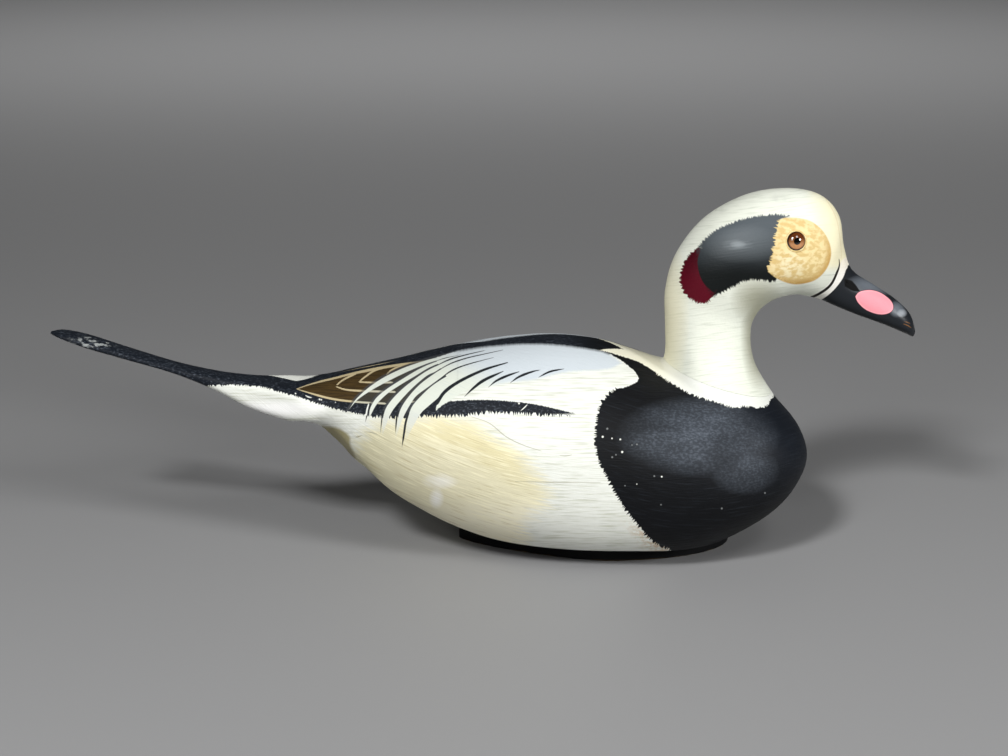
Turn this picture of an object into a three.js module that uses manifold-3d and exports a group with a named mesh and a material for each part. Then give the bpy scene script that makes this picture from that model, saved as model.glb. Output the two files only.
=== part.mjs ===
// Long-tailed duck decoy, full size, carved in wood and painted, with glass eyes.
// Millimetres, +Z up. +X points to the bill, -Y is the bird's right side.
// The flat underside of the keel lies on z = 0, and the planed bottom of the body above it.
import * as THREE from 'three';
import { mergeVertices } from 'three/addons/utils/BufferGeometryUtils.js';
import Module from 'manifold-3d';

const wasm = await Module();
wasm.setup();
const { Manifold } = wasm;

// Driving dimensions
const JOINT_GAP = 0.3;
const STEPS_PER_SPAN = 3;
const RING_POINTS = 32;
const EYE_FACETS = 20;
const NOSTRIL_FACETS = 14;
const EYE_RADIUS = 7.0;
const EYE_SHOWS = 11.0;
const EYE_X = 181.0;
const EYE_Z = 190.6;
const HEAD_HALF_WIDTH_AT_EYE = 28.0;
const NOSTRIL_LENGTH = 8.5;
const NOSTRIL_HEIGHT = 2.6;
const NOSTRIL_DEPTH = 1.5;
const NOSTRIL_X = 218.0;
const NOSTRIL_Z = 161.2;
const BILL_HALF_WIDTH_AT_NOSTRIL = 11.4;
const BILL_SLOPE = Math.PI / 6;
const BOTTOM_Z = 12.0;
const KEEL_BACK = -15.0;
const KEEL_WIDEST = 74.0;
const KEEL_FRONT = 150.5;
const KEEL_WIDTH = 84.0;
const KEEL_TAPER = 1.5;
const KEEL_FACETS = 48;

// Seat of the neck on the breast, from the notch behind the neck to the throat
const SEAT_BACK = [108.0, 114.8];
const SEAT_FRONT = [172.5, 95.4];
const NOTCH_MARGIN = 3.0;

// Bird's mouth that takes the tail: valley on top, heel inside, lip below
const TAIL_VALLEY = [-113.5, 100.5];
const TAIL_HEEL = [-73.0, 77.5];
const TAIL_LIP = [-106.0, 80.2];
const TAIL_BLOCK_RISE = 60.0;
const LIP_LEAN = 12.0;

// Side of the straight blocks that part the bird at its joints
const BLOCK_SIZE = 300.0;

// One cross-section of the bird. top and bottom are [x, z] on the centre plane.
// half is the half width, widest is how far down the section it lies (0 to 1).
// crown and keel round the upper and lower part: 2 is an ellipse, more is squarer.
// vee draws the lower part in to a wedge.
function station(top, bottom, half, shape = {}) {
  const { widest = 0.5, crown = 2.1, keel = 2.2, vee = 0 } = shape;
  return [...top, ...bottom, half, widest, crown, keel, vee];
}

// Lines of the bird from the tail tip to the tip of the bill
const TAIL = [
  station([-258.6, 131.0], [-258.6, 129.6], 2.5, { crown: 2.0, keel: 2.0 }),
  station([-252.0, 131.2], [-252.2, 127.4], 8.0, { crown: 2.3, keel: 2.3 }),
  station([-238.0, 128.0], [-238.4, 122.3], 10.5, { crown: 2.4, keel: 2.4 }),
  station([-214.0, 120.2], [-214.3, 114.8], 9.4, { crown: 2.4, keel: 2.4 }),
  station([-186.0, 111.5], [-186.4, 106.2], 8.6, { crown: 2.4, keel: 2.4 }),
  station([-160.0, 105.5], [-162.0, 96.0], 9.6, { crown: 2.8, keel: 2.8 }),
  station([-138.0, 102.2], [-141.0, 85.4], 12.8, { crown: 3.8, keel: 3.4 }),
  station([-119.5, 100.4], [-118.5, 79.0], 20.0, { crown: 4.6, keel: 3.6, vee: 0.04 }),
];
const RUMP = [
  station([-107.5, 100.0], [-104.0, 76.2], 25.5, { crown: 3.2, keel: 3.6, vee: 0.2 }),
  station([-93.0, 103.0], [-88.5, 62.6], 31.0, { widest: 0.46, crown: 2.3, keel: 3.2, vee: 0.62 }),
  station([-76.0, 107.0], [-75.5, 48.5], 40.0, { widest: 0.45, keel: 2.5, vee: 0.44 }),
];
const BODY = [
  station([-50.0, 112.4], [-50.0, 31.0], 53.5, { widest: 0.45, vee: 0.12 }),
  station([-20.0, 119.5], [-18.5, 14.3], 65.0, { widest: 0.47 }),
  station([12.0, 124.9], [15.0, 3.6], 72.3, { keel: 2.25 }),
  station([42.0, 127.0], [52.0, -3.0], 75.2, { widest: 0.53, keel: 2.3 }),
  station([68.0, 124.4], [88.0, -4.0], 75.6, { widest: 0.55, crown: 2.05, keel: 2.3 }),
  station([86.5, 119.3], [122.0, -1.2], 74.5, { widest: 0.57, crown: 2.0, keel: 2.3 }),
];
const BREAST = [
  station([98.4, 115.2], [155.0, 11.5], 72.0, { widest: 0.58, crown: 1.9 }),
  station([104.4, 113.2], [181.0, 29.0], 66.0, { widest: 0.57, crown: 1.85 }),
  station([107.6, 112.6], [195.2, 52.0], 57.5, { widest: 0.56, crown: 1.85 }),
  station([109.1, 115.2], [192.2, 70.6], 48.5, { widest: 0.54, crown: 1.9 }),
];
const NECK = [
  station([109.7, 121.8], [176.4, 90.6], 37.0, { widest: 0.52, crown: 2.0 }),
  station([109.1, 136.5], [163.2, 112.8], 27.5),
  station([108.9, 157.0], [160.2, 132.2], 24.3),
];
const HEAD = [
  station([115.0, 178.4], [163.6, 143.2], 27.0),
  station([131.0, 199.4], [170.6, 150.3], 30.0, { widest: 0.53 }),
  station([154.5, 213.1], [179.0, 153.7], 30.5, { widest: 0.55 }),
  station([178.0, 217.3], [186.0, 154.6], 28.5, { widest: 0.55 }),
  station([198.0, 214.0], [191.8, 153.6], 24.8, { widest: 0.55 }),
  station([209.8, 202.4], [197.2, 152.2], 19.8, { widest: 0.56 }),
  station([213.8, 183.5], [202.0, 150.7], 14.6, { widest: 0.56, keel: 2.3 }),
];
const BILL = [
  station([219.5, 168.9], [209.5, 147.4], 11.6, { widest: 0.57, crown: 1.9, keel: 2.5 }),
  station([233.0, 159.6], [224.0, 141.6], 10.5, { widest: 0.6, crown: 1.9, keel: 2.6 }),
  station([246.0, 151.0], [239.5, 136.0], 10.9, { widest: 0.6, crown: 2.0, keel: 2.6 }),
  station([255.2, 142.0], [252.0, 130.6], 8.8, { widest: 0.6, crown: 2.0, keel: 2.4 }),
  station([259.0, 131.8], [257.3, 127.9], 3.0, { widest: 0.57, crown: 2.0, keel: 2.0 }),
];
const LINES = [...TAIL, ...RUMP, ...BODY, ...BREAST, ...NECK, ...HEAD, ...BILL];

// Fairing: a smooth curve runs through each value of the stations
function fair(stations, stepsPerSpan) {
  const before = stations[0].map((value, i) => 2 * value - stations[1][i]);
  const last = stations.length - 1;
  const after = stations[last].map((value, i) => 2 * value - stations[last - 1][i]);
  const rows = [before, ...stations, after];
  const faired = [];
  for (let span = 0; span < last; span += 1) {
    const [a, b, c, d] = rows.slice(span, span + 4);
    for (let step = 0; step < stepsPerSpan; step += 1) {
      const t = step / stepsPerSpan;
      faired.push(b.map((value, i) => {
        const slope = c[i] - a[i];
        const bend = 2 * a[i] - 5 * value + 4 * c[i] - d[i];
        const twist = 3 * value - a[i] - 3 * c[i] + d[i];
        return 0.5 * (2 * value + slope * t + bend * t * t + twist * t * t * t);
      }));
    }
  }
  faired.push(stations[last]);
  return faired;
}

// The wedge is applied where it is worth having, with a corner of this sharpness
const LEAST_VEE = 0.001;
const VEE_CORNER = 6;
const TINY = 0.001;

// Signed power, which bends a circle into a rounder or squarer section
function bow(value, exponent) {
  return Math.sign(value) * Math.abs(value) ** exponent;
}

// Points round one cross-section, from the top down the right side and back
function section([topX, topZ, bottomX, bottomZ, half, widest, crown, keel, vee]) {
  const depth = Math.hypot(bottomX - topX, bottomZ - topZ);
  const points = [];
  for (let k = 0; k < RING_POINTS; k += 1) {
    const angle = (2 * Math.PI * k) / RING_POINTS;
    const up = Math.cos(angle);
    const power = 2 / (up > 0 ? crown : keel);
    const reach = up > 0 ? widest : 1 - widest;
    const down = widest - reach * bow(up, power);
    let y = -half * bow(Math.sin(angle), power);
    if (vee > LEAST_VEE && Math.abs(y) > TINY) {
      const limit = Math.max(((1 - down) * depth) / vee, TINY);
      y = Math.sign(y) * (Math.abs(y) ** -VEE_CORNER + limit ** -VEE_CORNER) ** (-1 / VEE_CORNER);
    }
    points.push([topX + (bottomX - topX) * down, y, topZ + (bottomZ - topZ) * down]);
  }
  return points;
}

// The whole bird as one closed skin, from ring to ring with a fan at each end
function carveBird() {
  const rings = fair(LINES, STEPS_PER_SPAN).map(section);
  const vertices = rings.flat();
  const triangles = [];
  for (let r = 0; r < rings.length - 1; r += 1) {
    for (let k = 0; k < RING_POINTS; k += 1) {
      const next = (k + 1) % RING_POINTS;
      const a = r * RING_POINTS + k;
      const b = r * RING_POINTS + next;
      const c = a + RING_POINTS;
      const d = b + RING_POINTS;
      triangles.push(a, b, d, a, d, c);
    }
  }
  const lastRing = (rings.length - 1) * RING_POINTS;
  for (let k = 1; k < RING_POINTS - 1; k += 1) {
    triangles.push(0, k + 1, k);
    triangles.push(lastRing, lastRing + k, lastRing + k + 1);
  }
  return solid(vertices.flat(), triangles);
}

// A solid that can be joined and cut, from a closed skin of triangles
function solid(vertices, triangles) {
  return new Manifold(new wasm.Mesh({
    numProp: 3,
    vertProperties: new Float32Array(vertices),
    triVerts: new Uint32Array(triangles),
  }));
}

// The same from a closed three.js geometry
function solidFrom(geometry) {
  geometry.deleteAttribute('normal');
  geometry.deleteAttribute('uv');
  const merged = mergeVertices(geometry);
  return solid(merged.attributes.position.array, merged.index.array);
}

// An outline drawn in by a clearance, with each side kept parallel to itself
function drawIn(outline, clearance) {
  const corners = outline.map(([x, z]) => new THREE.Vector2(x, z));
  const inward = Math.sign(THREE.ShapeUtils.area(corners));
  const normals = corners.map((corner, i) => {
    const side = corners[(i + 1) % corners.length].clone().sub(corner).normalize();
    return new THREE.Vector2(-side.y, side.x).multiplyScalar(inward);
  });
  return corners.map((corner, i) => {
    const before = normals.at(i - 1);
    const mitre = before.clone().add(normals[i]);
    return mitre.multiplyScalar(clearance / (1 + before.dot(normals[i]))).add(corner);
  });
}

// A straight block across the bird whose side view is the outline less a clearance
function block(outline, clearance) {
  const sideView = new THREE.Shape(drawIn(outline, clearance));
  const options = { depth: BLOCK_SIZE, bevelEnabled: false };
  const geometry = new THREE.ExtrudeGeometry(sideView, options);
  geometry.rotateX(Math.PI / 2).translate(0, BLOCK_SIZE / 2, 0);
  return solidFrom(geometry);
}

// The point at the given x on the straight line through two points
function onLine(from, to, x) {
  const slope = (to[1] - from[1]) / (to[0] - from[0]);
  return [x, from[1] + (x - from[0]) * slope];
}

// Everything above the neck seat
function aboveSeat(clearance) {
  const back = onLine(SEAT_BACK, SEAT_FRONT, SEAT_BACK[0] - NOTCH_MARGIN);
  const front = onLine(SEAT_BACK, SEAT_FRONT, BLOCK_SIZE);
  return block([back, front, [BLOCK_SIZE, BLOCK_SIZE], [back[0], BLOCK_SIZE]], clearance);
}

// Everything in the bird's mouth and behind it
function behindMouth(clearance) {
  const above = onLine(TAIL_VALLEY, TAIL_HEEL, TAIL_VALLEY[0] - TAIL_BLOCK_RISE);
  const under = [TAIL_LIP[0] - LIP_LEAN, 0];
  const outline = [TAIL_HEEL, above, [-BLOCK_SIZE, BLOCK_SIZE], [-BLOCK_SIZE, 0], under, TAIL_LIP];
  return block(outline, clearance);
}

// A ball whose front stands out of the cheek by the eye's showing width
function eyeBall(side, radius) {
  const sunk = Math.sqrt(EYE_RADIUS ** 2 - (EYE_SHOWS / 2) ** 2);
  const y = side * (HEAD_HALF_WIDTH_AT_EYE - sunk);
  const ball = new THREE.SphereGeometry(radius, EYE_FACETS, EYE_FACETS / 2);
  return solidFrom(ball.translate(EYE_X, y, EYE_Z));
}

// A slot with round ends along the slope of the bill
function nostril(side) {
  const slot = new THREE.SphereGeometry(1, NOSTRIL_FACETS, NOSTRIL_FACETS / 2);
  slot.scale(NOSTRIL_LENGTH / 2, NOSTRIL_DEPTH, NOSTRIL_HEIGHT / 2);
  slot.rotateY(BILL_SLOPE);
  slot.translate(NOSTRIL_X, side * BILL_HALF_WIDTH_AT_NOSTRIL, NOSTRIL_Z);
  return solidFrom(slot);
}

// A low board under the body, on which the decoy stands. Seen from above it is half an oval in
// front of its widest place and runs to a soft point behind it.
function keelBoard() {
  const outline = [];
  for (let i = 0; i < KEEL_FACETS; i += 1) {
    const turn = (i / KEEL_FACETS) * 2 * Math.PI;
    const behind = Math.cos(turn) < 0;
    const reach = behind ? KEEL_WIDEST - KEEL_BACK : KEEL_FRONT - KEEL_WIDEST;
    const along = Math.abs(Math.cos(turn)) ** (behind ? KEEL_TAPER : 1);
    const aside = Math.abs(Math.sin(turn)) ** (behind ? KEEL_TAPER : 1);
    const x = KEEL_WIDEST + (behind ? -1 : 1) * reach * along;
    outline.push(new THREE.Vector2(x, (Math.sign(Math.sin(turn)) * KEEL_WIDTH * aside) / 2));
  }
  const options = { depth: BOTTOM_Z - JOINT_GAP, bevelEnabled: false };
  return solidFrom(new THREE.ExtrudeGeometry(new THREE.Shape(outline), options));
}

// A finished solid as a named mesh with its own paint
function piece(name, shape, color, roughness) {
  const mesh = shape.getMesh();
  const geometry = new THREE.BufferGeometry();
  geometry.setAttribute('position', new THREE.BufferAttribute(mesh.vertProperties, 3));
  geometry.setIndex(new THREE.BufferAttribute(mesh.triVerts, 1));
  geometry.computeVertexNormals();
  const material = new THREE.MeshStandardMaterial({ color, roughness, metalness: 0 });
  const result = new THREE.Mesh(geometry, material);
  result.name = name;
  return result;
}

const SIDES = { eye_right: -1, eye_left: 1 };
const bird = carveBird().trimByPlane([0, 0, 1], BOTTOM_Z);
const tail = bird.intersect(behindMouth(JOINT_GAP));
let head = bird.intersect(aboveSeat(JOINT_GAP));
const body = bird.subtract(behindMouth(0)).subtract(aboveSeat(0));
for (const side of Object.values(SIDES)) {
  head = head.subtract(eyeBall(side, EYE_RADIUS + JOINT_GAP));
  head = head.subtract(nostril(side));
}

const decoy = new THREE.Group();
decoy.name = 'long_tailed_duck_decoy';
decoy.add(piece('body', body, 0xdedbc8, 0.5));
decoy.add(piece('tail', tail, 0x1c1c1e, 0.45));
decoy.add(piece('head_and_neck', head, 0xe9ebe0, 0.5));
decoy.add(piece('keel', keelBoard(), 0x1a1a1b, 0.6));
for (const [name, side] of Object.entries(SIDES)) {
  decoy.add(piece(name, eyeBall(side, EYE_RADIUS), 0x5a2f12, 0.08));
}

export default decoy;
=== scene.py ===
# %% [markdown]
# This notebook dresses a long-tailed duck decoy: a drake carved in softwood, painted in oils and
# given glass eyes. The solids of the decoy already exist at their true size. They are loaded here
# as a frame that never moves, and every fine surface made below lies where its solid lies.

# %% Load the carved solids
import functools
import math
import bmesh
import bpy
import numpy as np
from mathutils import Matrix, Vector


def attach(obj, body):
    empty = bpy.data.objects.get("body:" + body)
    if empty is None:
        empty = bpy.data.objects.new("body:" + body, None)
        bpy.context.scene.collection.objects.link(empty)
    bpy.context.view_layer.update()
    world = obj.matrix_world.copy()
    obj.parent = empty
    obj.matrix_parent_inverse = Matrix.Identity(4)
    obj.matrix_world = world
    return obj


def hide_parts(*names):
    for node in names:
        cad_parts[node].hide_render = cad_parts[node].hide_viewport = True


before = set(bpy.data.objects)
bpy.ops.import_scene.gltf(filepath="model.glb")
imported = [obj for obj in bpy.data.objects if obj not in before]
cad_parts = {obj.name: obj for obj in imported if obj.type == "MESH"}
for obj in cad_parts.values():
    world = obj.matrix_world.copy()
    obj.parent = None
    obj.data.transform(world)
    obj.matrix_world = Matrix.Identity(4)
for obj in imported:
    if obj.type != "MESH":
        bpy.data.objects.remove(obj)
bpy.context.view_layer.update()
print("solids:", sorted(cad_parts))

# %% [markdown]
# The camera stands 1.2 m from the decoy and looks down on it by 15 degrees, as the photographer
# did. Its lens follows from the size of one pixel of the photograph at the bird, so that the
# render and the photograph lie on each other. The same numbers give the way back: for any point of
# the bird they tell which pixel of the photograph shows it, and that is how the paint is laid out.

# %% The camera
MM = 0.001
PHOTO_WIDTH = 1008
PHOTO_HEIGHT = 756
PIXEL_AT_BIRD = 0.6032 * MM
CAMERA_DISTANCE = 1.2
LOOKING_DOWN = math.radians(15)
AIM = np.array([12.67, 0, 102]) * MM
SENSOR = 36.0


def linked(name, data):
    """A new object in the scene that shows a mesh, a camera or a light."""
    thing = bpy.data.objects.new(name, data)
    bpy.context.scene.collection.objects.link(thing)
    return thing


ahead = np.array([0, math.cos(LOOKING_DOWN), -math.sin(LOOKING_DOWN)])
overhead = np.array([0, math.sin(LOOKING_DOWN), math.cos(LOOKING_DOWN)])
camera_place = AIM - CAMERA_DISTANCE * ahead
camera_data = bpy.data.cameras.new("camera")
camera_data.sensor_width = SENSOR
camera_data.lens = SENSOR * CAMERA_DISTANCE / (PIXEL_AT_BIRD * PHOTO_WIDTH)
camera = linked("camera", camera_data)
camera.location = camera_place
camera.rotation_euler = (math.pi / 2 - LOOKING_DOWN, 0, 0)
bpy.context.scene.camera = camera
print("lens", round(camera_data.lens, 2), "mm")


def photo_place(points):
    """The pixels across and down at which points of the bird's right side show in the photograph."""
    away = points - camera_place
    scale = CAMERA_DISTANCE / PIXEL_AT_BIRD / (away @ ahead)
    return PHOTO_WIDTH / 2 + scale * away[:, 0], PHOTO_HEIGHT / 2 - scale * (away @ overhead)


# %% [markdown]
# A studio table for a bird like this is a pale sheet with soft boxes round it. Two stand low at
# the sides, a little in front. They give the long soft shadows and the two bright spots in the
# eye. Two more hang high in front, for the shadow under the tail and the sheen on the breast. A
# wide panel over the far end of the sheet keeps the background even. A weak wide light from behind
# and a faint even world light stand for all that is thrown back from farther off.

# %% The floor and the lights
FLOOR_SIZE = 16.0
FLOOR_GREY = (0.3, 0.3, 0.303, 1)
FLOOR_ROUGHNESS = 0.6
WORLD_GREY = 0.022
FAR_END = (0.0, 5.2, 0.0)


def lamp(name, kind, place, strength, size, towards=AIM):
    """A lamp at a place, turned towards the bird or another place."""
    light = bpy.data.lights.new(name, kind)
    light.energy = strength
    setattr(light, "size" if kind == "AREA" else "angle", size)
    thing = linked(name, light)
    thing.location = place
    direction = Vector(towards) - Vector(place)
    thing.rotation_euler = direction.to_track_quat("-Z", "Y").to_euler()


lamp("soft box left", "AREA", (-0.78, -1.72, 1.07), 6.0, 0.5)
lamp("soft box right", "AREA", (1.83, -1.26, 0.92), 33.0, 0.45)
lamp("soft box high left", "AREA", (-0.66, -1.5, 1.55), 34.0, 0.35)
lamp("soft box high right", "AREA", (0.75, -1.05, 1.6), 5.5, 0.5)
lamp("panel over the far end", "AREA", (0.0, 3.2, 2.4), 70.0, 3.0, FAR_END)
lamp("pale light behind", "SUN", (0.4, 3.0, 4.0), 0.06, math.radians(50))
world = bpy.data.worlds.new("studio")
bpy.context.scene.world = world
world.use_nodes = True
background = world.node_tree.nodes["Background"]
background.inputs["Color"].default_value = (1, 1, 1, 1)
background.inputs["Strength"].default_value = WORLD_GREY
bpy.context.scene.view_settings.view_transform = "Standard"

half = FLOOR_SIZE / 2
floor_mesh = bpy.data.meshes.new("floor")
corners = [(-half, -half, 0), (half, -half, 0), (half, half, 0), (-half, half, 0)]
floor_mesh.from_pydata(corners, [], [(0, 1, 2, 3)])
floor = linked("floor", floor_mesh)
floor_paint = bpy.data.materials.new("floor sheet")
floor_paint.use_nodes = True
floor_shader = floor_paint.node_tree.nodes["Principled BSDF"]
floor_shader.inputs["Base Color"].default_value = FLOOR_GREY
floor_shader.inputs["Roughness"].default_value = FLOOR_ROUGHNESS
floor_mesh.materials.append(floor_paint)
print("a floor of", FLOOR_SIZE, "m and", len(bpy.data.lights), "lamps")

# %% [markdown]
# Both the carving and the paint are sums worked out by node trees. Writing such a tree link by
# link hides the idea, so one small class wraps a value that comes out of a node and lets Python's
# own signs make the Math nodes: `1 - mask` adds a Subtract node. A second class makes every other
# node from its type, its settings and the values or links of its sockets.

# %% A shorthand for node trees


class Wire:
    """A number, colour or vector that comes out of a node."""

    def __init__(self, board, socket):
        self.board = board
        self.socket = socket

    def math(self, operation, *others, clamp=False):
        values = dict(enumerate((self, *others)))
        return self.board.add("ShaderNodeMath", {"operation": operation, "use_clamp": clamp}, values)

    def __add__(self, other):
        return self.math("ADD", other)

    def __radd__(self, other):
        return self.math("ADD", other)

    def __sub__(self, other):
        return self.math("SUBTRACT", other)

    def __rsub__(self, other):
        return self.board.number("SUBTRACT", other, self)

    def __mul__(self, other):
        return self.math("MULTIPLY", other)

    def __rmul__(self, other):
        return self.math("MULTIPLY", other)

    def __truediv__(self, other):
        return self.math("DIVIDE", other)

    def __rtruediv__(self, other):
        return self.board.number("DIVIDE", other, self)

    def __pow__(self, other):
        return self.math("POWER", other)

    def __abs__(self):
        return self.math("ABSOLUTE")

    def least(self, other):
        return self.math("MINIMUM", other)

    def most(self, other):
        return self.math("MAXIMUM", other)

    def share(self):
        """The same number, kept from 0 to 1."""
        return self.math("ADD", 0.0, clamp=True)

    def parts(self):
        """The three numbers of a vector."""
        split = self.board.add("ShaderNodeSeparateXYZ", {}, {0: self}).socket.node
        return [Wire(self.board, socket) for socket in split.outputs]


class Board:
    """A node tree that nodes are added to."""

    def __init__(self, tree):
        self.tree = tree

    def add(self, kind, settings, values, output=0):
        """One node of a kind: its settings first, then its sockets' values or links."""
        node = self.tree.nodes.new(kind)
        for name, value in settings.items():
            setattr(node, name, value)
        for key, value in values.items():
            if isinstance(value, Wire):
                self.tree.links.new(value.socket, node.inputs[key])
            else:
                node.inputs[key].default_value = value
        return Wire(self, node.outputs[output])

    def number(self, operation, first, second):
        return self.add("ShaderNodeMath", {"operation": operation}, {0: first, 1: second})

    def vector(self, x, y, z):
        return self.add("ShaderNodeCombineXYZ", {}, {0: x, 1: y, 2: z})

    def scaled(self, vector, factor):
        return self.add("ShaderNodeVectorMath", {"operation": "SCALE"}, {0: vector, "Scale": factor})

    def moved(self, vector, step):
        return self.add("ShaderNodeVectorMath", {"operation": "ADD"}, {0: vector, 1: step})


print("node shorthand ready")

# %% [markdown]
# A carver draws a bird as a lines plan: cross-sections from the tip of the tail to the tip of the
# bill. Each one has a top and a bottom point on the centre plane, a half width, the height of its
# widest place and two numbers for how round or square it is above and below. These are the lines
# of the solids, in millimetres, and the fine skin is laid over the same ones. Modelling the bird
# by pulling vertices would lose that, and a smoothed copy of the solids would shrink.

# %% The lines of the bird


def station(top, bottom, half_width, widest=0.5, crown=2.1, keel=2.2, vee=0.0):
    """One cross-section. An exponent of 2 is an ellipse, more is squarer, vee draws it to a wedge."""
    return [*top, *bottom, half_width, widest, crown, keel, vee]


TAIL = [
    station((-258.6, 131.0), (-258.6, 129.6), 2.5, crown=2.0, keel=2.0),
    station((-252.0, 131.2), (-252.2, 127.4), 8.0, crown=2.3, keel=2.3),
    station((-238.0, 128.0), (-238.4, 122.3), 10.5, crown=2.4, keel=2.4),
    station((-214.0, 120.2), (-214.3, 114.8), 9.4, crown=2.4, keel=2.4),
    station((-186.0, 111.5), (-186.4, 106.2), 8.6, crown=2.4, keel=2.4),
    station((-160.0, 105.5), (-162.0, 96.0), 9.6, crown=2.8, keel=2.8),
    station((-138.0, 102.2), (-141.0, 85.4), 12.8, crown=3.8, keel=3.4),
    station((-119.5, 100.4), (-118.5, 79.0), 20.0, crown=4.6, keel=3.6, vee=0.04),
]
RUMP = [
    station((-107.5, 100.0), (-104.0, 76.2), 25.5, crown=3.2, keel=3.6, vee=0.2),
    station((-93.0, 103.0), (-88.5, 62.6), 31.0, widest=0.46, crown=2.3, keel=3.2, vee=0.62),
    station((-76.0, 107.0), (-75.5, 48.5), 40.0, widest=0.45, keel=2.5, vee=0.44),
]
BACK_AND_FLANKS = [
    station((-50.0, 112.4), (-50.0, 31.0), 53.5, widest=0.45, vee=0.12),
    station((-20.0, 119.5), (-18.5, 14.3), 65.0, widest=0.47),
    station((12.0, 124.9), (15.0, 3.6), 72.3, keel=2.25),
    station((42.0, 127.0), (52.0, -3.0), 75.2, widest=0.53, keel=2.3),
    station((68.0, 124.4), (88.0, -4.0), 75.6, widest=0.55, crown=2.05, keel=2.3),
    station((86.5, 119.3), (122.0, -1.2), 74.5, widest=0.57, crown=2.0, keel=2.3),
]
BREAST = [
    station((98.4, 115.2), (155.0, 11.5), 72.0, widest=0.58, crown=1.9),
    station((104.4, 113.2), (181.0, 29.0), 66.0, widest=0.57, crown=1.85),
    station((107.6, 112.6), (195.2, 52.0), 57.5, widest=0.56, crown=1.85),
    station((109.1, 115.2), (192.2, 70.6), 48.5, widest=0.54, crown=1.9),
]
NECK = [
    station((109.7, 121.8), (176.4, 90.6), 37.0, widest=0.52, crown=2.0),
    station((109.1, 136.5), (163.2, 112.8), 27.5),
    station((108.9, 157.0), (160.2, 132.2), 24.3),
]
HEAD = [
    station((115.0, 178.4), (163.6, 143.2), 27.0),
    station((131.0, 199.4), (170.6, 150.3), 30.0, widest=0.53),
    station((154.5, 213.1), (179.0, 153.7), 30.5, widest=0.55),
    station((178.0, 217.3), (186.0, 154.6), 28.5, widest=0.55),
    station((198.0, 214.0), (191.8, 153.6), 24.8, widest=0.55),
    station((209.8, 202.4), (197.2, 152.2), 19.8, widest=0.56),
    station((213.8, 183.5), (202.0, 150.7), 14.6, widest=0.56, keel=2.3),
]
BILL = [
    station((219.5, 168.9), (209.5, 147.4), 11.6, widest=0.57, crown=1.9, keel=2.5),
    station((233.0, 159.6), (224.0, 141.6), 10.5, widest=0.6, crown=1.9, keel=2.6),
    station((246.0, 151.0), (239.5, 136.0), 10.9, widest=0.6, crown=2.0, keel=2.6),
    station((255.2, 142.0), (252.0, 130.6), 8.8, widest=0.6, crown=2.0, keel=2.4),
    station((259.0, 131.8), (257.3, 127.9), 3.0, widest=0.57, crown=2.0, keel=2.0),
]
LINES = np.array([*TAIL, *RUMP, *BACK_AND_FLANKS, *BREAST, *NECK, *HEAD, *BILL])
print(len(LINES), "stations")

# %% [markdown]
# Between the stations the lines are faired: a smooth curve runs through each of their values, just
# as a thin batten bends through the marks on a drawing. Long spans get more in-between sections
# than short ones, so that the skin has even facets.

# %% Fair the lines


def lengthened(rows):
    """The rows with one more at each end, straight on from the last two."""
    return np.vstack([2 * rows[0] - rows[1], rows, 2 * rows[-1] - rows[-2]])


def between(a, b, c, d, share):
    """A share of the way from b to c, on the smooth curve that runs through all four."""
    bend = (2 * a - 5 * b + 4 * c - d) * share ** 2
    twist = (3 * b - a - 3 * c + d) * share ** 3
    return (2 * b + (c - a) * share + bend + twist) / 2


def fair(first, last, spacing):
    """Sections from station first to station last, one every spacing millimetres or less."""
    rows = lengthened(LINES)
    faired = []
    for span in range(first, last):
        a, b, c, d = rows[span:span + 4]
        longest = max(math.dist(b[0:2], c[0:2]), math.dist(b[2:4], c[2:4]))
        steps = math.ceil(longest / spacing)
        faired.extend(between(a, b, c, d, share) for share in np.arange(steps) / steps)
    faired.append(LINES[last])
    return np.array(faired)


def lines_object(name, rows):
    """The sections as loose points that carry their values, ready for Geometry Nodes."""
    zeros = np.zeros(len(rows))
    top = np.stack([rows[:, 0], zeros, rows[:, 1]], 1) * MM
    bottom = np.stack([rows[:, 2], zeros, rows[:, 3]], 1) * MM
    mesh = bpy.data.meshes.new(name)
    mesh.from_pydata(top.tolist(), [], [])
    for key, values in (("top", top), ("bottom", bottom)):
        mesh.attributes.new(key, "FLOAT_VECTOR", "POINT").data.foreach_set("vector", values.ravel())
    numbers = {"half_width": rows[:, 4] * MM, "widest": rows[:, 5], "crown": rows[:, 6]}
    numbers.update({"keel": rows[:, 7], "vee": np.maximum(rows[:, 8], 0)})
    for key, values in numbers.items():
        mesh.attributes.new(key, "FLOAT", "POINT").data.foreach_set("value", values)
    return linked(name, mesh)


print(len(fair(0, len(LINES) - 1, 1.5)), "sections at 1.5 mm")

# %% [markdown]
# The skin is a main piece whose shape follows a rule, so Geometry Nodes make it. A closed cylinder
# gives the mesh: its rings are the sections, and a point's number tells its ring and its place
# round the ring. Each point then looks up the values of its section and moves to its place on it.
# Last, a soft noise pushes the skin in and out by about a tenth of a millimetre, because a knife
# and sandpaper never leave a surface as even as a machine does.

# %% The tree that lays the skin
ROUNDING = 0.0001
THINNEST = 1e-6
WEDGE_POWER = 6


def open_tree(name, inputs):
    """A new modifier tree with named inputs, and its first node."""
    tree = bpy.data.node_groups.new(name, "GeometryNodeTree")
    tree.interface.new_socket("Geometry", in_out="INPUT", socket_type="NodeSocketGeometry")
    tree.interface.new_socket("Geometry", in_out="OUTPUT", socket_type="NodeSocketGeometry")
    for key, kind in inputs.items():
        tree.interface.new_socket(key, in_out="INPUT", socket_type="NodeSocket" + kind)
    board = Board(tree)
    start = tree.nodes.new("NodeGroupInput")
    return board, {socket.name: Wire(board, socket) for socket in start.outputs if socket.name}


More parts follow.
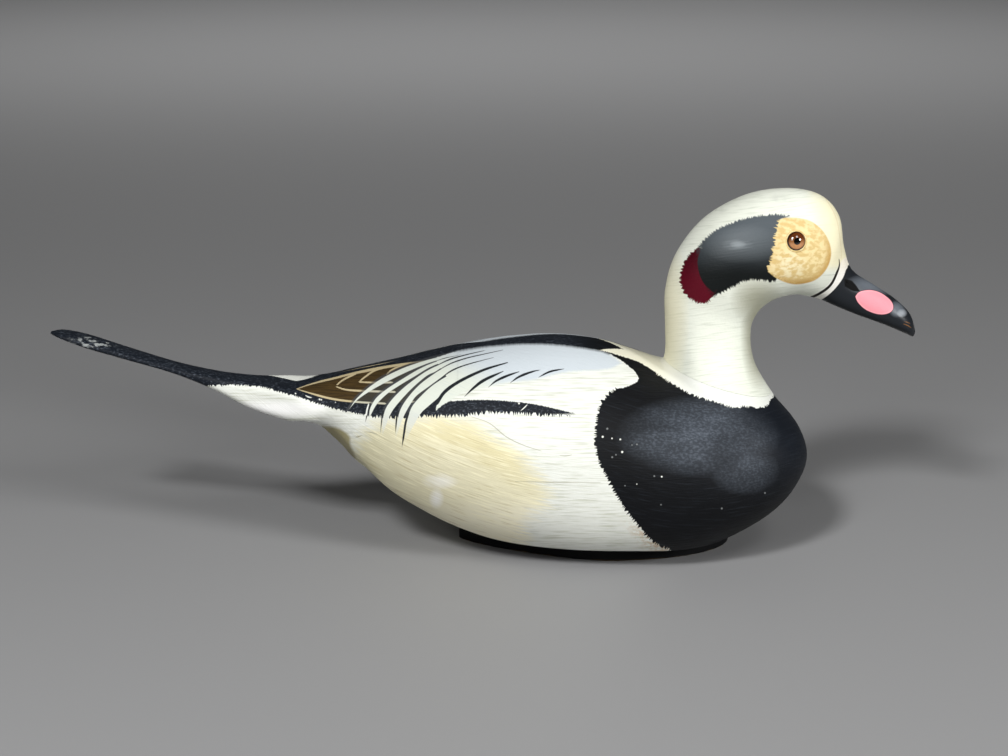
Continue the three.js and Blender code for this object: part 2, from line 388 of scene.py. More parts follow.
def close_tree(board, geometry, paint):
    """Real geometry with its paint, which is what a modifier tree hands on."""
    smooth = board.add("GeometryNodeSetShadeSmooth", {}, {"Geometry": geometry})
    real = board.add("GeometryNodeRealizeInstances", {}, {"Geometry": smooth})
    painted = board.add("GeometryNodeSetMaterial", {}, {"Geometry": real, "Material": paint})
    end = board.tree.nodes.new("NodeGroupOutput")
    board.tree.links.new(painted.socket, end.inputs[0])
    return board.tree


def skin_tree():
    knobs = {"Points round": "Int", "Tool depth": "Float", "Tool scale": "Float"}
    board, given = open_tree("skin over the lines", {**knobs, "Seed": "Float", "Paint": "Material"})
    lines, around = given["Geometry"], given["Points round"]
    count = board.add("GeometryNodeAttributeDomainSize", {"component": "MESH"}, {0: lines})
    tube = {"Vertices": around, "Side Segments": count - 1}
    skin = board.add("GeometryNodeMeshCylinder", {"fill_type": "NGON"}, tube)
    index = board.add("GeometryNodeInputIndex", {}, {})
    ring = (index / around + ROUNDING).math("FLOOR")

    def look_up(key, kind="FLOAT"):
        stored = board.add("GeometryNodeInputNamedAttribute", {"data_type": kind}, {"Name": key})
        wanted = {"Geometry": lines, "Value": stored, "Index": ring}
        return board.add("GeometryNodeSampleIndex", {"data_type": kind}, wanted)

    turn = (index - ring * around) * 2 * math.pi / around
    height, side = turn.math("COSINE"), turn.math("SINE")
    upper = height.math("GREATER_THAN", 0)
    widest = look_up("widest")
    squareness = look_up("crown") * upper + look_up("keel") * (1 - upper)
    reach = widest * upper + (1 - widest) * (1 - upper)
    down = widest - reach * height.math("SIGN") * abs(height) ** (2 / squareness)
    out = look_up("half_width") * side.math("SIGN") * abs(side) ** (2 / squareness)
    top, bottom = look_up("top", "FLOAT_VECTOR"), look_up("bottom", "FLOAT_VECTOR")
    depth_vector = board.moved(bottom, board.scaled(top, -1))
    depth = board.add("ShaderNodeVectorMath", {"operation": "LENGTH"}, {0: depth_vector}, "Value")
    room = ((1 - down) * depth).most(THINNEST)
    wedge = (1 + (abs(out) * look_up("vee") / room) ** WEDGE_POWER) ** (-1 / WEDGE_POWER)
    on_centre = board.moved(top, board.scaled(depth_vector, down))
    place = board.moved(on_centre, board.vector(0, out * wedge, 0))
    laid = board.add("GeometryNodeSetPosition", {}, {"Geometry": skin, "Position": place})
    swell = {"W": given["Seed"], "Scale": given["Tool scale"], "Detail": 1.0}
    noise = board.add("ShaderNodeTexNoise", {"noise_dimensions": "4D"}, swell)
    normal = board.add("GeometryNodeInputNormal", {}, {})
    push = board.scaled(normal, (noise - 0.5) * given["Tool depth"])
    carved = board.add("GeometryNodeSetPosition", {}, {"Geometry": laid, "Offset": push})
    return close_tree(board, carved, given["Paint"])


skin_over_lines = skin_tree()
print(len(skin_over_lines.nodes), "nodes lay the skin")

# %% [markdown]
# The real bird is glued up from three carved blocks: the body, the tail let into a bird's mouth at
# the rump, and the head and neck on a sloping seat on the breast. Cutting blocks with straight
# sides part the skin along those joints, in the same places as the solids. A hair of open joint
# stays between them. One more block planes the bottom of the body flat.

# %% Blocks that part the bird
SEAT_BACK = (108.0, 114.8)
SEAT_FRONT = (172.5, 95.4)
NOTCH_MARGIN = 3.0
TAIL_VALLEY = (-113.5, 100.5)
TAIL_HEEL = (-73.0, 77.5)
MOUTH_TOP_X = -173.5
TAIL_LIP = (-106.0, 80.2)
LIP_LEAN = 12.0
BOTTOM_Z = 12.0
FAR = 300.0
NECK_JOINT = 0.14
SEAT_LEAN = 0.3
TAIL_JOINT = 0.05


def on_line(start, end, x):
    """The point at x on the straight line through two points."""
    return x, start[1] + (x - start[0]) * (end[1] - start[1]) / (end[0] - start[0])


def block(name, outline, shift=(0, 0)):
    """A block right across the bird with this side view, in millimetres."""
    mesh = bpy.data.meshes.new(name)
    shape = bmesh.new()
    near = [shape.verts.new(((x + shift[0]) * MM, -FAR * MM, (z + shift[1]) * MM)) for x, z in outline]
    side = shape.faces.new(near)
    across = bmesh.ops.extrude_face_region(shape, geom=[side])
    moved = [item for item in across["geom"] if isinstance(item, bmesh.types.BMVert)]
    bmesh.ops.translate(shape, verts=moved, vec=(0, 2 * FAR * MM, 0))
    bmesh.ops.recalc_face_normals(shape, faces=shape.faces)
    shape.to_mesh(mesh)
    shape.free()
    return linked(name, mesh)


seat_back = on_line(SEAT_BACK, SEAT_FRONT, SEAT_BACK[0] - NOTCH_MARGIN)
seat_front = on_line(SEAT_BACK, SEAT_FRONT, FAR)
over_seat = [seat_back, seat_front, (FAR, FAR), (seat_back[0], FAR)]
mouth_top = on_line(TAIL_VALLEY, TAIL_HEEL, MOUTH_TOP_X)
mouth_foot = (TAIL_LIP[0] - LIP_LEAN, 0)
in_mouth = [TAIL_HEEL, mouth_top, (-FAR, FAR), (-FAR, 0), mouth_foot, TAIL_LIP]
under_bottom = [(-FAR, -FAR), (FAR, -FAR), (FAR, BOTTOM_Z), (-FAR, BOTTOM_Z)]
above_seat = block("above the seat", over_seat)
head_block = block("head block", over_seat, (SEAT_LEAN * NECK_JOINT, NECK_JOINT))
behind_mouth = block("behind the mouth", in_mouth)
tail_block = block("tail block", in_mouth, (-TAIL_JOINT, 0))
below_bottom = block("below the bottom", under_bottom)
print("five cutting blocks")

# %% [markdown]
# The glass eyes lie in round sockets, and the nostrils are narrow hollows that run out forwards. A
# ball and an egg with a thin end are enough to cut them, because only their mouths are seen.

# %% Sockets and nostrils
EYE_RADIUS = 7.0
EYE_SHOWS = 11.0
EYE_X = 181.0
EYE_Z = 190.6
CHEEK_HALF_WIDTH = 28.0
EYE_DEPTH = CHEEK_HALF_WIDTH - math.sqrt(EYE_RADIUS ** 2 - (EYE_SHOWS / 2) ** 2)
SOCKET_ROOM = 0.12
NOSTRIL_PLACE = (217.6, 11.3, 161.3)
NOSTRIL_SIZE = (8.6, 3.0, 3.6)
NOSTRIL_SLOPE = math.radians(38)
NOSTRIL_TAPER = 0.8
BALL_FACETS = 64


def ball(name, centre, radii, taper=0.0, slope=0.0):
    """A ball or an egg with its thin end forward, in millimetres."""
    mesh = bpy.data.meshes.new(name)
    shape = bmesh.new()
    bmesh.ops.create_uvsphere(shape, u_segments=BALL_FACETS, v_segments=BALL_FACETS // 2, radius=1)
    for vertex in shape.verts:
        x, y, z = vertex.co
        thin = 1 - taper * (x + 1) / 2
        x, y, z = x * radii[0], y * radii[1] * thin, z * radii[2] * thin
        tilted_x = x * math.cos(slope) + z * math.sin(slope)
        tilted_z = z * math.cos(slope) - x * math.sin(slope)
        vertex.co = ((tilted_x + centre[0]) * MM, (y + centre[1]) * MM, (tilted_z + centre[2]) * MM)
    shape.to_mesh(mesh)
    shape.free()
    return linked(name, mesh)


hollows = []
for side, word in ((-1, "right"), (1, "left")):
    socket_radii = [EYE_RADIUS + SOCKET_ROOM] * 3
    hollows.append(ball("socket " + word, (EYE_X, side * EYE_DEPTH, EYE_Z), socket_radii))
    place = (NOSTRIL_PLACE[0], side * NOSTRIL_PLACE[1], NOSTRIL_PLACE[2])
    radii = [size / 2 for size in NOSTRIL_SIZE]
    hollows.append(ball("nostril " + word, place, radii, NOSTRIL_TAPER, NOSTRIL_SLOPE))
print(len(hollows), "hollows")

# %% [markdown]
# Each wooden piece runs over its own stretch of stations, a little past its joints, and the blocks
# trim it. The Boolean modifiers work on the live skin, and the result is turned into a plain mesh,
# so that the finished piece carries no modifier. Edges sharper than thirty degrees stay crisp.

# %% Carve the three wooden pieces
PAINT_NAMES = ["body_paint", "tail_paint", "head_paint", "keel_paint", "putty", "eye_glass"]
PAINTS = {name: bpy.data.materials.new(name.replace("_", " ")) for name in PAINT_NAMES}
CRISP_EDGE = math.radians(30)
TOOL_DEPTH = 0.22 * MM
TOOL_SCALE = 26.0


def set_inputs(modifier, values):
    """Each named input of a modifier tree, set by its socket's identifier."""
    for socket in modifier.node_group.interface.items_tree:
        if socket.in_out == "INPUT" and socket.name in values:
            modifier[socket.identifier] = values[socket.name]


def finished(thing, name):
    """The evaluated object as a new object with a plain mesh. The live one is deleted."""
    seen = thing.evaluated_get(bpy.context.evaluated_depsgraph_get())
    mesh = bpy.data.meshes.new_from_object(seen)
    bpy.data.objects.remove(thing)
    mesh.name = name
    return linked(name, mesh)


def carve(name, rows, around, paint, seed, keep=None, cuts=()):
    """One wooden piece: the skin over its rows, kept inside one block and cut by others."""
    live = lines_object(name + " lines", rows)
    lay = live.modifiers.new("skin", "NODES")
    lay.node_group = skin_over_lines
    knobs = {"Points round": around, "Tool depth": TOOL_DEPTH, "Tool scale": TOOL_SCALE}
    set_inputs(lay, {**knobs, "Seed": seed, "Paint": PAINTS[paint]})
    steps = [("INTERSECT", keep)] if keep else []
    for operation, tool in steps + [("DIFFERENCE", cut) for cut in cuts]:
        cutting = live.modifiers.new(tool.name, "BOOLEAN")
        cutting.solver = "MANIFOLD"
        cutting.operation = operation
        cutting.object = tool
    piece = finished(live, name)
    piece.data.materials.clear()
    piece.data.materials.append(PAINTS[paint])
    piece.data.polygons.foreach_set("material_index", np.zeros(len(piece.data.polygons), int))
    piece.data.set_sharp_from_angle(angle=CRISP_EDGE)
    triangles = sum(len(face.vertices) - 2 for face in piece.data.polygons)
    print(name, len(piece.data.vertices), "vertices", triangles, "triangles")
    return piece


body_rows = fair(first=7, last=22, spacing=1.6)
tail_rows = fair(first=0, last=11, spacing=1.5)
head_rows = fair(first=19, last=35, spacing=1.3)
body_cuts = [behind_mouth, above_seat, below_bottom]
body = carve("carved_body", body_rows, 288, "body_paint", seed=1.0, cuts=body_cuts)
tail = carve("carved_tail", tail_rows, 128, "tail_paint", seed=2.0, keep=tail_block)
head = carve("carved_head", head_rows, 192, "head_paint", seed=3.0, keep=head_block, cuts=hollows)
for tool in [above_seat, head_block, behind_mouth, tail_block, below_bottom, *hollows]:
    bpy.data.objects.remove(tool)

# %% [markdown]
# The body doesn't lie on the table. Its planed bottom stands on a low keel, a board glued along the
# middle. Seen from above it is half an oval in front of its widest place and runs to a soft point
# behind it. It is drawn by that outline and pulled up, and its upper and lower edges are eased as a
# few strokes of sandpaper would.

# %% The keel
KEEL_BACK = -15.0
KEEL_WIDEST = 74.0
KEEL_FRONT = 150.5
KEEL_WIDTH = 84.0
KEEL_TAPER = 1.5
KEEL_EASE = 1.2
GLUE_LINE = 0.05
KEEL_POINTS = 128


def keel_outline():
    """The keel seen from above, round in front and drawn to a soft point behind."""
    turns = np.arange(KEEL_POINTS) / KEEL_POINTS * 2 * math.pi
    behind = np.cos(turns) < 0
    taper = np.where(behind, KEEL_TAPER, 1.0)
    reach = np.where(behind, KEEL_BACK - KEEL_WIDEST, KEEL_FRONT - KEEL_WIDEST)
    along = KEEL_WIDEST + reach * np.abs(np.cos(turns)) ** taper
    aside = KEEL_WIDTH / 2 * np.sign(np.sin(turns)) * np.abs(np.sin(turns)) ** taper
    return list(zip(along, aside))


def keel_board(name):
    """A low board of that outline with eased edges."""
    shape = bmesh.new()
    foot = shape.faces.new([shape.verts.new((x * MM, y * MM, 0)) for x, y in keel_outline()])
    pulled = bmesh.ops.extrude_face_region(shape, geom=[foot])
    top = [item for item in pulled["geom"] if isinstance(item, bmesh.types.BMVert)]
    bmesh.ops.translate(shape, verts=top, vec=(0, 0, (BOTTOM_Z - GLUE_LINE) * MM))
    bmesh.ops.recalc_face_normals(shape, faces=shape.faces)
    level = [edge for edge in shape.edges if edge.verts[0].co.z == edge.verts[1].co.z]
    bmesh.ops.bevel(shape, geom=level, offset=KEEL_EASE * MM, segments=4, profile=0.5, affect="EDGES")
    mesh = bpy.data.meshes.new(name)
    shape.to_mesh(mesh)
    shape.free()
    mesh.polygons.foreach_set("use_smooth", np.ones(len(mesh.polygons), bool))
    mesh.set_sharp_from_angle(angle=CRISP_EDGE)
    mesh.materials.append(PAINTS["keel_paint"])
    return linked(name, mesh)


keel = keel_board("carved_keel")
print("keel with", len(keel.data.polygons), "faces")

# %% [markdown]
# The eyes are stock glass eyes: a ball of amber glass with a black pupil, bedded in the socket so
# that a cap of 11 mm shows. Both come out of one small tree with the radius and the place as
# inputs. A poly sphere with its poles to the side puts the finest facets where the pupil is.

# %% The glass eyes
EYE_FACETS = 72


def eye_tree():
    knobs = {"Radius": "Float", "Facets": "Int", "Place": "Vector", "Paint": "Material"}
    board, given = open_tree("glass eye", knobs)
    rings = {"Segments": given["Facets"], "Rings": given["Facets"] / 2, "Radius": given["Radius"]}
    sphere = board.add("GeometryNodeMeshUVSphere", {}, rings)
    lie = {"Geometry": sphere, "Translation": given["Place"], "Rotation": (math.pi / 2, 0, 0)}
    return close_tree(board, board.add("GeometryNodeTransform", {}, lie), given["Paint"])


eye_ball = eye_tree()


def made_by(tree, name, values):
    """A finished piece that a modifier tree makes from nothing but its inputs."""
    start = linked(name + " start", bpy.data.meshes.new(name + " start"))
    live = start.modifiers.new("make", "NODES")
    live.node_group = tree
    set_inputs(live, values)
    return finished(start, name)


def glass_eye(name, side):
    place = (EYE_X * MM, side * EYE_DEPTH * MM, EYE_Z * MM)
    knobs = {"Radius": EYE_RADIUS * MM, "Facets": EYE_FACETS, "Place": place}
    return made_by(eye_ball, name, {**knobs, "Paint": PAINTS["eye_glass"]})


eye_right = glass_eye("glass_eye_right", -1)
eye_left = glass_eye("glass_eye_left", 1)
print("eyes with", len(eye_right.data.polygons), "facets each")

# %% [markdown]
# The putty that holds an eye is smoothed into a thin lid round the glass. It stands square to the
# cheek, which leans a little forward and up there, so the ring turns with it. A circle swept along
# a circle is all it takes.

# %% The putty lids
LID_RADIUS = 5.9
LID_THICKNESS = 0.62
LID_FACETS = 96
BEAD_FACETS = 16
CHEEK_FACES = (0.144, 0.972, 0.187)
LID_REACH = math.sqrt(EYE_RADIUS ** 2 - LID_RADIUS ** 2)


def lid_tree():
    knobs = {"Radius": "Float", "Thickness": "Float", "Place": "Vector", "Faces": "Vector"}
    board, given = open_tree("putty lid", {**knobs, "Paint": "Material"})
    round_glass = {"Resolution": LID_FACETS, "Radius": given["Radius"]}
    path = board.add("GeometryNodeCurvePrimitiveCircle", {}, round_glass)
    bead = {"Resolution": BEAD_FACETS, "Radius": given["Thickness"]}
    profile = board.add("GeometryNodeCurvePrimitiveCircle", {}, bead)
    ring = board.add("GeometryNodeCurveToMesh", {}, {"Curve": path, "Profile Curve": profile})
    turned = board.add("FunctionNodeAlignRotationToVector", {"axis": "Z"}, {"Vector": given["Faces"]})
    laid = {"Geometry": ring, "Translation": given["Place"], "Rotation": turned}
    return close_tree(board, board.add("GeometryNodeTransform", {}, laid), given["Paint"])


putty_lid = lid_tree()


def lid(name, side):
    faces = (CHEEK_FACES[0], side * CHEEK_FACES[1], CHEEK_FACES[2])
    middle = (EYE_X, side * EYE_DEPTH, EYE_Z)
    place = [(centre + LID_REACH * lean) * MM for centre, lean in zip(middle, faces)]
    knobs = {"Radius": LID_RADIUS * MM, "Thickness": LID_THICKNESS * MM, "Place": place}
    return made_by(putty_lid, name, {**knobs, "Faces": faces, "Paint": PAINTS["putty"]})


lid_right = lid("putty_lid_right", -1)
lid_left = lid("putty_lid_left", 1)
print("lids with", len(lid_right.data.polygons), "facets each")

# %% [markdown]
# The plumage is flat paint with crisp edges that the painter pulled out into small teeth. Painting
# it on a texture would need an image, so the edges are drawn here as outlines: smooth runs of
# points, placed on the photograph, each with the length of its teeth. For each vertex the distance
# to the outline, the way along it and the tooth length are stored on the mesh. These change evenly
# from facet to facet, so the material can cut the edge far finer than the facets are. Both sides of
# the bird use the same outlines, because a painter repeats one side on the other.

# %% Measures from outlines and strokes
BATTEN_STEPS = 6
RUN_ON = 90.0
VERY_FAR = 1e9
SHORTEST = 1e-6


def batten(points):
    """A smooth curve through a run of points. Two points give a straight line."""
    if len(points) < 3:
        return np.array(points, float)
    rows = lengthened(np.array(points, float))
    curve = []
    for four in zip(rows, rows[1:], rows[2:], rows[3:]):
        curve.extend(between(*four, share) for share in np.arange(BATTEN_STEPS) / BATTEN_STEPS)
    return np.array([*curve, points[-1]])


def beside(start, end, across, down):
    """Distance to a straight stretch, the length of it passed, and which side of it each place is."""
    run_x, run_y = end - start
    length = max(math.hypot(run_x, run_y), SHORTEST)
    x, y = across - start[0], down - start[1]
    share = np.clip((x * run_x + y * run_y) / length ** 2, 0, 1)
    return np.hypot(x - share * run_x, y - share * run_y), share * length, x * run_y - y * run_x


def outline_field(runs, across, down):
    """Distance inside a closed outline, the way along it and the tooth length at the nearest place."""
    nearest = np.full(len(across), VERY_FAR)
    along, teeth, inside = np.zeros(len(across)), np.zeros(len(across)), np.zeros(len(across), bool)
    walked = 0.0
    drawn = [(tooth, batten(points)) for tooth, points in runs]
    for number, (tooth, curve) in enumerate(drawn):
        closing = np.array([curve[-1], drawn[(number + 1) % len(drawn)][1][0]])
        for path in (curve, closing):
            for start, end in zip(path, path[1:]):
                distance, passed, _ = beside(start, end, across, down)
                closer = distance < nearest
                nearest = np.where(closer, distance, nearest)
                along = np.where(closer, walked + passed, along)
                teeth = np.where(closer, tooth, teeth)
                rise = end[1] - start[1]
                if rise:
                    crossing = start[0] + (down - start[1]) * (end[0] - start[0]) / rise
                    inside ^= ((start[1] <= down) != (end[1] <= down)) & (across < crossing)
                walked += math.dist(start, end)
    return np.where(inside, nearest, -nearest), along, teeth


def stroke_field(points, across, down):
    """Distance to the right of a path, straight on past its ends, the way along it and its length."""
    curve = batten(points)
    first = curve[0] + (curve[0] - curve[1]) / math.dist(curve[0], curve[1]) * RUN_ON
    last = curve[-1] + (curve[-1] - curve[-2]) / math.dist(curve[-1], curve[-2]) * RUN_ON
    path = np.array([first, *curve, last])
    nearest = np.full(len(across), VERY_FAR)
    offset, along = np.zeros(len(across)), np.zeros(len(across))
    walked = -RUN_ON
    for start, end in zip(path, path[1:]):
        distance, passed, side = beside(start, end, across, down)
        closer = distance < nearest
        nearest = np.where(closer, distance, nearest)
        offset = np.where(closer, np.copysign(distance, -side), offset)
        along = np.where(closer, walked + passed, along)
        walked += math.dist(start, end)
    return offset, along, walked - RUN_ON


print("outline and stroke measures ready")

# %% [markdown]
# What is measured has to travel with the mesh, so it is stored as attributes: one for the place in
# the photograph and one for each outline, each stroke and each long feather.

# %% Store the measures on a piece


def store(piece, name, columns):
    """Up to three numbers for each vertex, as one vector attribute."""
    values = np.zeros((len(piece.data.vertices), 3))
    for number, column in enumerate(columns):
        values[:, number] = column
    slot = piece.data.attributes.new(name, "FLOAT_VECTOR", "POINT")
    slot.data.foreach_set("vector", values.ravel())


def places_of(piece):
    """Where each vertex shows in the photograph. The left side is folded onto the right one."""
    points = np.empty(len(piece.data.vertices) * 3)
    piece.data.vertices.foreach_get("co", points)
    points = points.reshape(-1, 3)
    points[:, 1] = -np.abs(points[:, 1])
    return photo_place(points)


def store_strokes(piece, kind, strokes):
    """Each stroke's offset from its path and its half width, which runs out past both ends."""
    across, down = places_of(piece)
    for number, (widths, points) in enumerate(strokes):
        offset, along, length = stroke_field(points, across, down)
        width = np.interp(along / length, np.linspace(0, 1, len(widths)), widths)
        past_end = np.maximum(np.maximum(-along, along - length), 0)
        store(piece, f"{kind}_{number}", (offset, width / 2 - past_end))


def store_marks(piece, outlines, strokes):
    """The place of each vertex in the photograph and its measures from outlines and strokes."""
    places = places_of(piece)
    store(piece, "photo_place", places)
    for name, runs in outlines.items():
        store(piece, name, outline_field(runs, *places))
    for kind, paths in strokes.items():
        store_strokes(piece, kind, paths)
    print(piece.name, "has", len(piece.data.attributes), "attributes")


print("ready to store")

# %% [markdown]
# On the body and tail the black runs from the tail sprig over the back to the breast, with long
# teeth along the flank and at the rear of the breast. Above it lie the white at the neck, the pale
# grey shoulder feathers and the brown feathers. The flank has yellowed in one soft field. Each list
# below is one run of the brush round an outline, in pixels of the photograph, after the length of
# its teeth.

# %% Outlines on the body and tail
BLACK = [
    (0.6, [(575.7, 413.6), (555, 408.8), (534.5, 404.3), (507.7, 401.2), (480.9, 399.9), (449.5, 401.2)]),
    (0, [(449.5, 401.2), (470, 380), (600, 357), (609.4, 353.9)]),
    (0.8, [(609.4, 353.9), (622, 361), (636.1, 372.9), (637.5, 381.3), (623.7, 387.7), (616.4, 388.3)]),
    (3.2, [(616.4, 388.3), (602.4, 400.9), (597.5, 416.4), (595.7, 437), (597.3, 456), (608, 479),
           (623, 505.8), (639.6, 527), (653, 541.5), (669.5, 549.2)]),
    (0, [(700, 640), (1000, 600), (1000, 200), (-60, 200), (-60, 420), (150, 420), (196, 396)]),
    (2.0, [(207.5, 385.6), (240, 385), (262, 386.8), (280, 392), (295.2, 395.8), (305.4, 399.4),
           (325.8, 406), (346.2, 411.4), (365, 414.7)]),
    (3.8, [(365, 414.7), (391, 417), (422.9, 415.8), (446, 415.8), (464.4, 414.9), (481, 412.4),
           (497.5, 412.4), (522.4, 413.3), (555.6, 414.9), (575.7, 413.6)]),
]
NECK_WHITE = [
    (0.8, [(598.9, 350.4), (606.6, 351.6), (623.5, 356.7), (640, 362.4), (655, 371.8)]),
    (2.4, [(655, 371.8), (675.4, 385.6), (695.8, 395.8), (716.2, 401.9), (734.6, 407.6), (743.8, 406),
           (757, 407.6), (767.2, 405), (773.4, 395.8)]),
    (0, [(773.4, 395.8), (800, 380), (780, 330), (640, 330), (637, 350.6)]),
    (0.4, [(637, 350.6), (622, 349), (606.6, 349), (598.9, 350.4)]),
]
SHOULDER = [
    (0.4, [(435, 358), (454.1, 352.2), (480.9, 347.6), (511.5, 344.9), (530.7, 344.2), (560.3, 345.5),
           (595.4, 350.4), (609.4, 354.6), (621.3, 363.1)]),
    (0.6, [(621.3, 363.1), (606.6, 369), (567.3, 371.8), (545, 377), (531, 380), (507, 382.5),
           (489, 386.5), (467, 391), (455, 397), (449.5, 401.2), (441.9, 405.4), (435.4, 411)]),
    (0, [(435.4, 411), (436.9, 404.7), (440.4, 399.1), (444.6, 394.2), (450.2, 389.3), (455, 385.8)]),
    (0, [(455, 385.8), (443, 372), (435, 358)]),
]
BROWN = [
    (0, [(296.5, 389.1), (308, 384.6), (320, 381), (334, 377.6), (356, 372), (387, 366.5),
         (424.3, 360.9)]),
    (0, [(424.3, 360.9), (428, 390), (415, 402.2)]),
    (0, [(415, 402.2), (365, 403), (346.2, 400.4), (323.3, 396.8), (308, 392.5), (296.5, 389.1)]),
]
CREAM_FIELD = [
    (0, [(385, 417), (457.6, 418.5), (487, 433), (515, 453.6), (533.5, 470.3), (543, 483), (548, 500),
         (537, 511), (524, 526), (524, 541)]),
    (0, [(524, 541), (420, 575), (330, 490), (352, 452), (362, 436), (385, 417)]),
]
# Painted shade: the rump's end under the tail faces away from the lamps, so it is painted olive.
RUMP_SHADE_OUTLINE = [
    (0, [(322, 426), (333, 427), (341, 429.5), (347.5, 434), (350, 438), (350, 443), (352, 449),
         (356, 458)]),
    (0, [(356, 458), (340, 490), (290, 470), (322, 426)]),
]
body_outlines = {"black": BLACK, "neck_white": NECK_WHITE, "shoulder": SHOULDER, "brown": BROWN}
body_outlines.update({"cream": CREAM_FIELD, "rump_end": RUMP_SHADE_OUTLINE})
print(len(body_outlines), "outlines on the body and tail")

# %% [markdown]
# Five long feathers fan out from the grey shoulder over the black. Each is drawn by its upper and
# its lower edge, from the tip up to where it runs into the shoulder.

# %% The long shoulder feathers
FEATHERS = [
    ([(349.9, 408.2), (356.2, 399.1), (367.4, 388.6), (381.5, 378.8), (399.7, 369.6), (420.8, 361.9),
      (443.2, 356), (455, 353.9)],
     [(349.9, 408.2), (358.3, 399.1), (373.1, 389.3), (388.5, 380.9), (408.1, 371.4), (427.8, 363.3),
      (443, 358.7), (455, 355.6)]),
    ([(369.2, 415.2), (370.3, 408.2), (375.9, 398.4), (386.4, 389.3), (401.1, 379.8), (418.7, 369.3),
      (435, 362.1), (455, 356.7)],
     [(370.6, 415.2), (376.6, 404.4), (387.1, 393.8), (401.1, 384.4), (415.2, 376), (429.2, 367.5),
      (443.2, 361.9), (455, 358.4)]),
    ([(382.5, 434), (382.8, 420), (387.1, 406.1), (399.7, 391.4), (415.2, 378.8), (429.2, 369.6),
      (443.2, 363.3), (455, 360.2)],
     [(382.6, 435), (389.9, 415.2), (398.3, 403), (412.4, 387.9), (426.4, 376), (435, 371.8),
      (443.2, 366.8), (455, 363)]),
    ([(395.8, 434), (397.5, 421), (401.1, 408.2), (409.5, 395.6), (420.8, 383.7), (435, 373.2),
      (443.2, 368.4), (455, 364.4)],
     [(396.4, 436), (403.2, 417.4), (410.9, 403.3), (416.6, 395.6), (427.8, 387.2), (443.2, 376.3),
      (455, 370.3)]),
    ([(405.6, 437), (407, 423), (411.6, 407.5), (422.2, 394.9), (435, 383.7), (455, 371.4)],
     [(406.6, 439), (419.4, 415.2), (429.2, 405.4), (439, 397), (448.8, 387.2), (455, 383.3)]),
]
print(len(FEATHERS), "long feathers")

# %% [markdown]
# Finer still are single strokes of a pointed brush: dark ones between the grey feathers, tan ones
# round the brown feathers, white ones, and the few cracks that age has added. A stroke is a path
# with the width of the mark at its start, on its way and at its end.

# %% Strokes on the body
DARK_STROKES = [
    ((1.8, 1.8, 1.4, 0), [(370, 403.3), (368.1, 411.6), (366.8, 416), (365.3, 422.3)]),
    ((1.5, 1.3, 0.8, 0), [(383.2, 411), (382.2, 416), (381.4, 423), (380.4, 433)]),
    ((1.8, 1.7, 1.3, 0), [(398.4, 411), (396.9, 416), (396.2, 423), (395.4, 433.5)]),
    ((2.2, 2.2, 2.2, 1.8, 0),
     [(408.3, 413), (405.7, 422.4), (404.4, 430.7), (403.1, 439.6), (401.9, 447.3)]),
    ((0.3, 0.8, 0.5, 0), [(435, 361.4), (444.2, 358.3), (454.9, 356), (462, 354.3)]),
    ((0.6, 1.5, 1.0, 0.5), [(435, 366.4), (449.5, 359.5), (465.6, 354.9), (485.5, 350.3)]),
    ((0.5, 1.3, 0.9, 0.4), [(435, 372.5), (450.3, 363.7), (467.1, 358), (484, 354.1), (503.1, 349.9)]),
    ((0.5, 1.5, 1.0, 0.3), [(435, 382.8), (451.8, 370.6), (468.7, 364.1), (494.7, 357.2)]),
    ((3.4, 3.2, 3.0, 2.4, 1.0),
     [(436.5, 403.9), (444.9, 391.6), (460.3, 380.9), (484, 369.8), (507.7, 362.5)]),
    ((0, 2.2, 3.2, 2.6, 0.5), [(463.3, 397.8), (473.3, 388.2), (484, 380.2), (503.9, 371)]),
    ((0, 1.8, 2.6, 2.0, 0.5), [(487.8, 387.8), (496.2, 380.9), (507.7, 375.6), (519.9, 371.4)]),
    ((0, 1.8, 2.5, 1.8, 0.4), [(509.2, 383.6), (519.2, 376.7), (532.2, 371.7), (540.6, 369.8)]),
    ((0, 1.6, 2.0, 1.6, 0.3), [(537.5, 377.9), (549.8, 371.7), (564.5, 368.7)]),
]
TAN_STROKES = [
    ((0.6, 1.9, 2.0, 2.8, 2.4, 0.8), [(296.7, 388.9), (308, 385), (320, 381.6), (334, 378.3),
                                      (356, 372.8), (387.1, 366.8), (424.3, 360.9)]),
    ((0.6, 1.9, 2.0, 1.8, 1.8),
     [(296.7, 388.9), (308, 392.5), (330.9, 398.6), (356.4, 401.9), (386, 403.6)]),
    ((1.2, 1.8, 2.0), [(336.5, 385.1), (344.2, 379.2), (356.4, 373.2)]),
    ((1.2, 1.9, 2.0, 1.8), [(336, 386.6), (346.2, 389.7), (362.5, 390.9), (395.5, 392)]),
    ((1.2, 1.8, 1.8, 1.0), [(359.5, 381.5), (365.3, 376.7), (375.2, 370.3), (389.9, 366.6)]),
    ((1.4, 1.8, 1.8), [(359, 381.9), (375.9, 382.7), (392.5, 382.4)]),
    ((1.4, 1.7, 1.4, 0.6), [(386.6, 374.6), (391.3, 370.3), (399, 366.6), (410, 363.4)]),
    ((1.4, 1.6, 1.4), [(411, 402.2), (415, 401.4)]),
]
WHITE_STROKES = [
    ((1.2, 1.6, 1.4), [(368.7, 404), (367.1, 409.6), (366.2, 415.2)]),
    ((0.4, 1.1, 0.6), [(528, 403.9), (524.5, 407.5), (520.5, 411)]),
    ((0.5, 1.3, 0.5), [(305.4, 395.3), (308.4, 397.0), (312, 397.8)]),
]
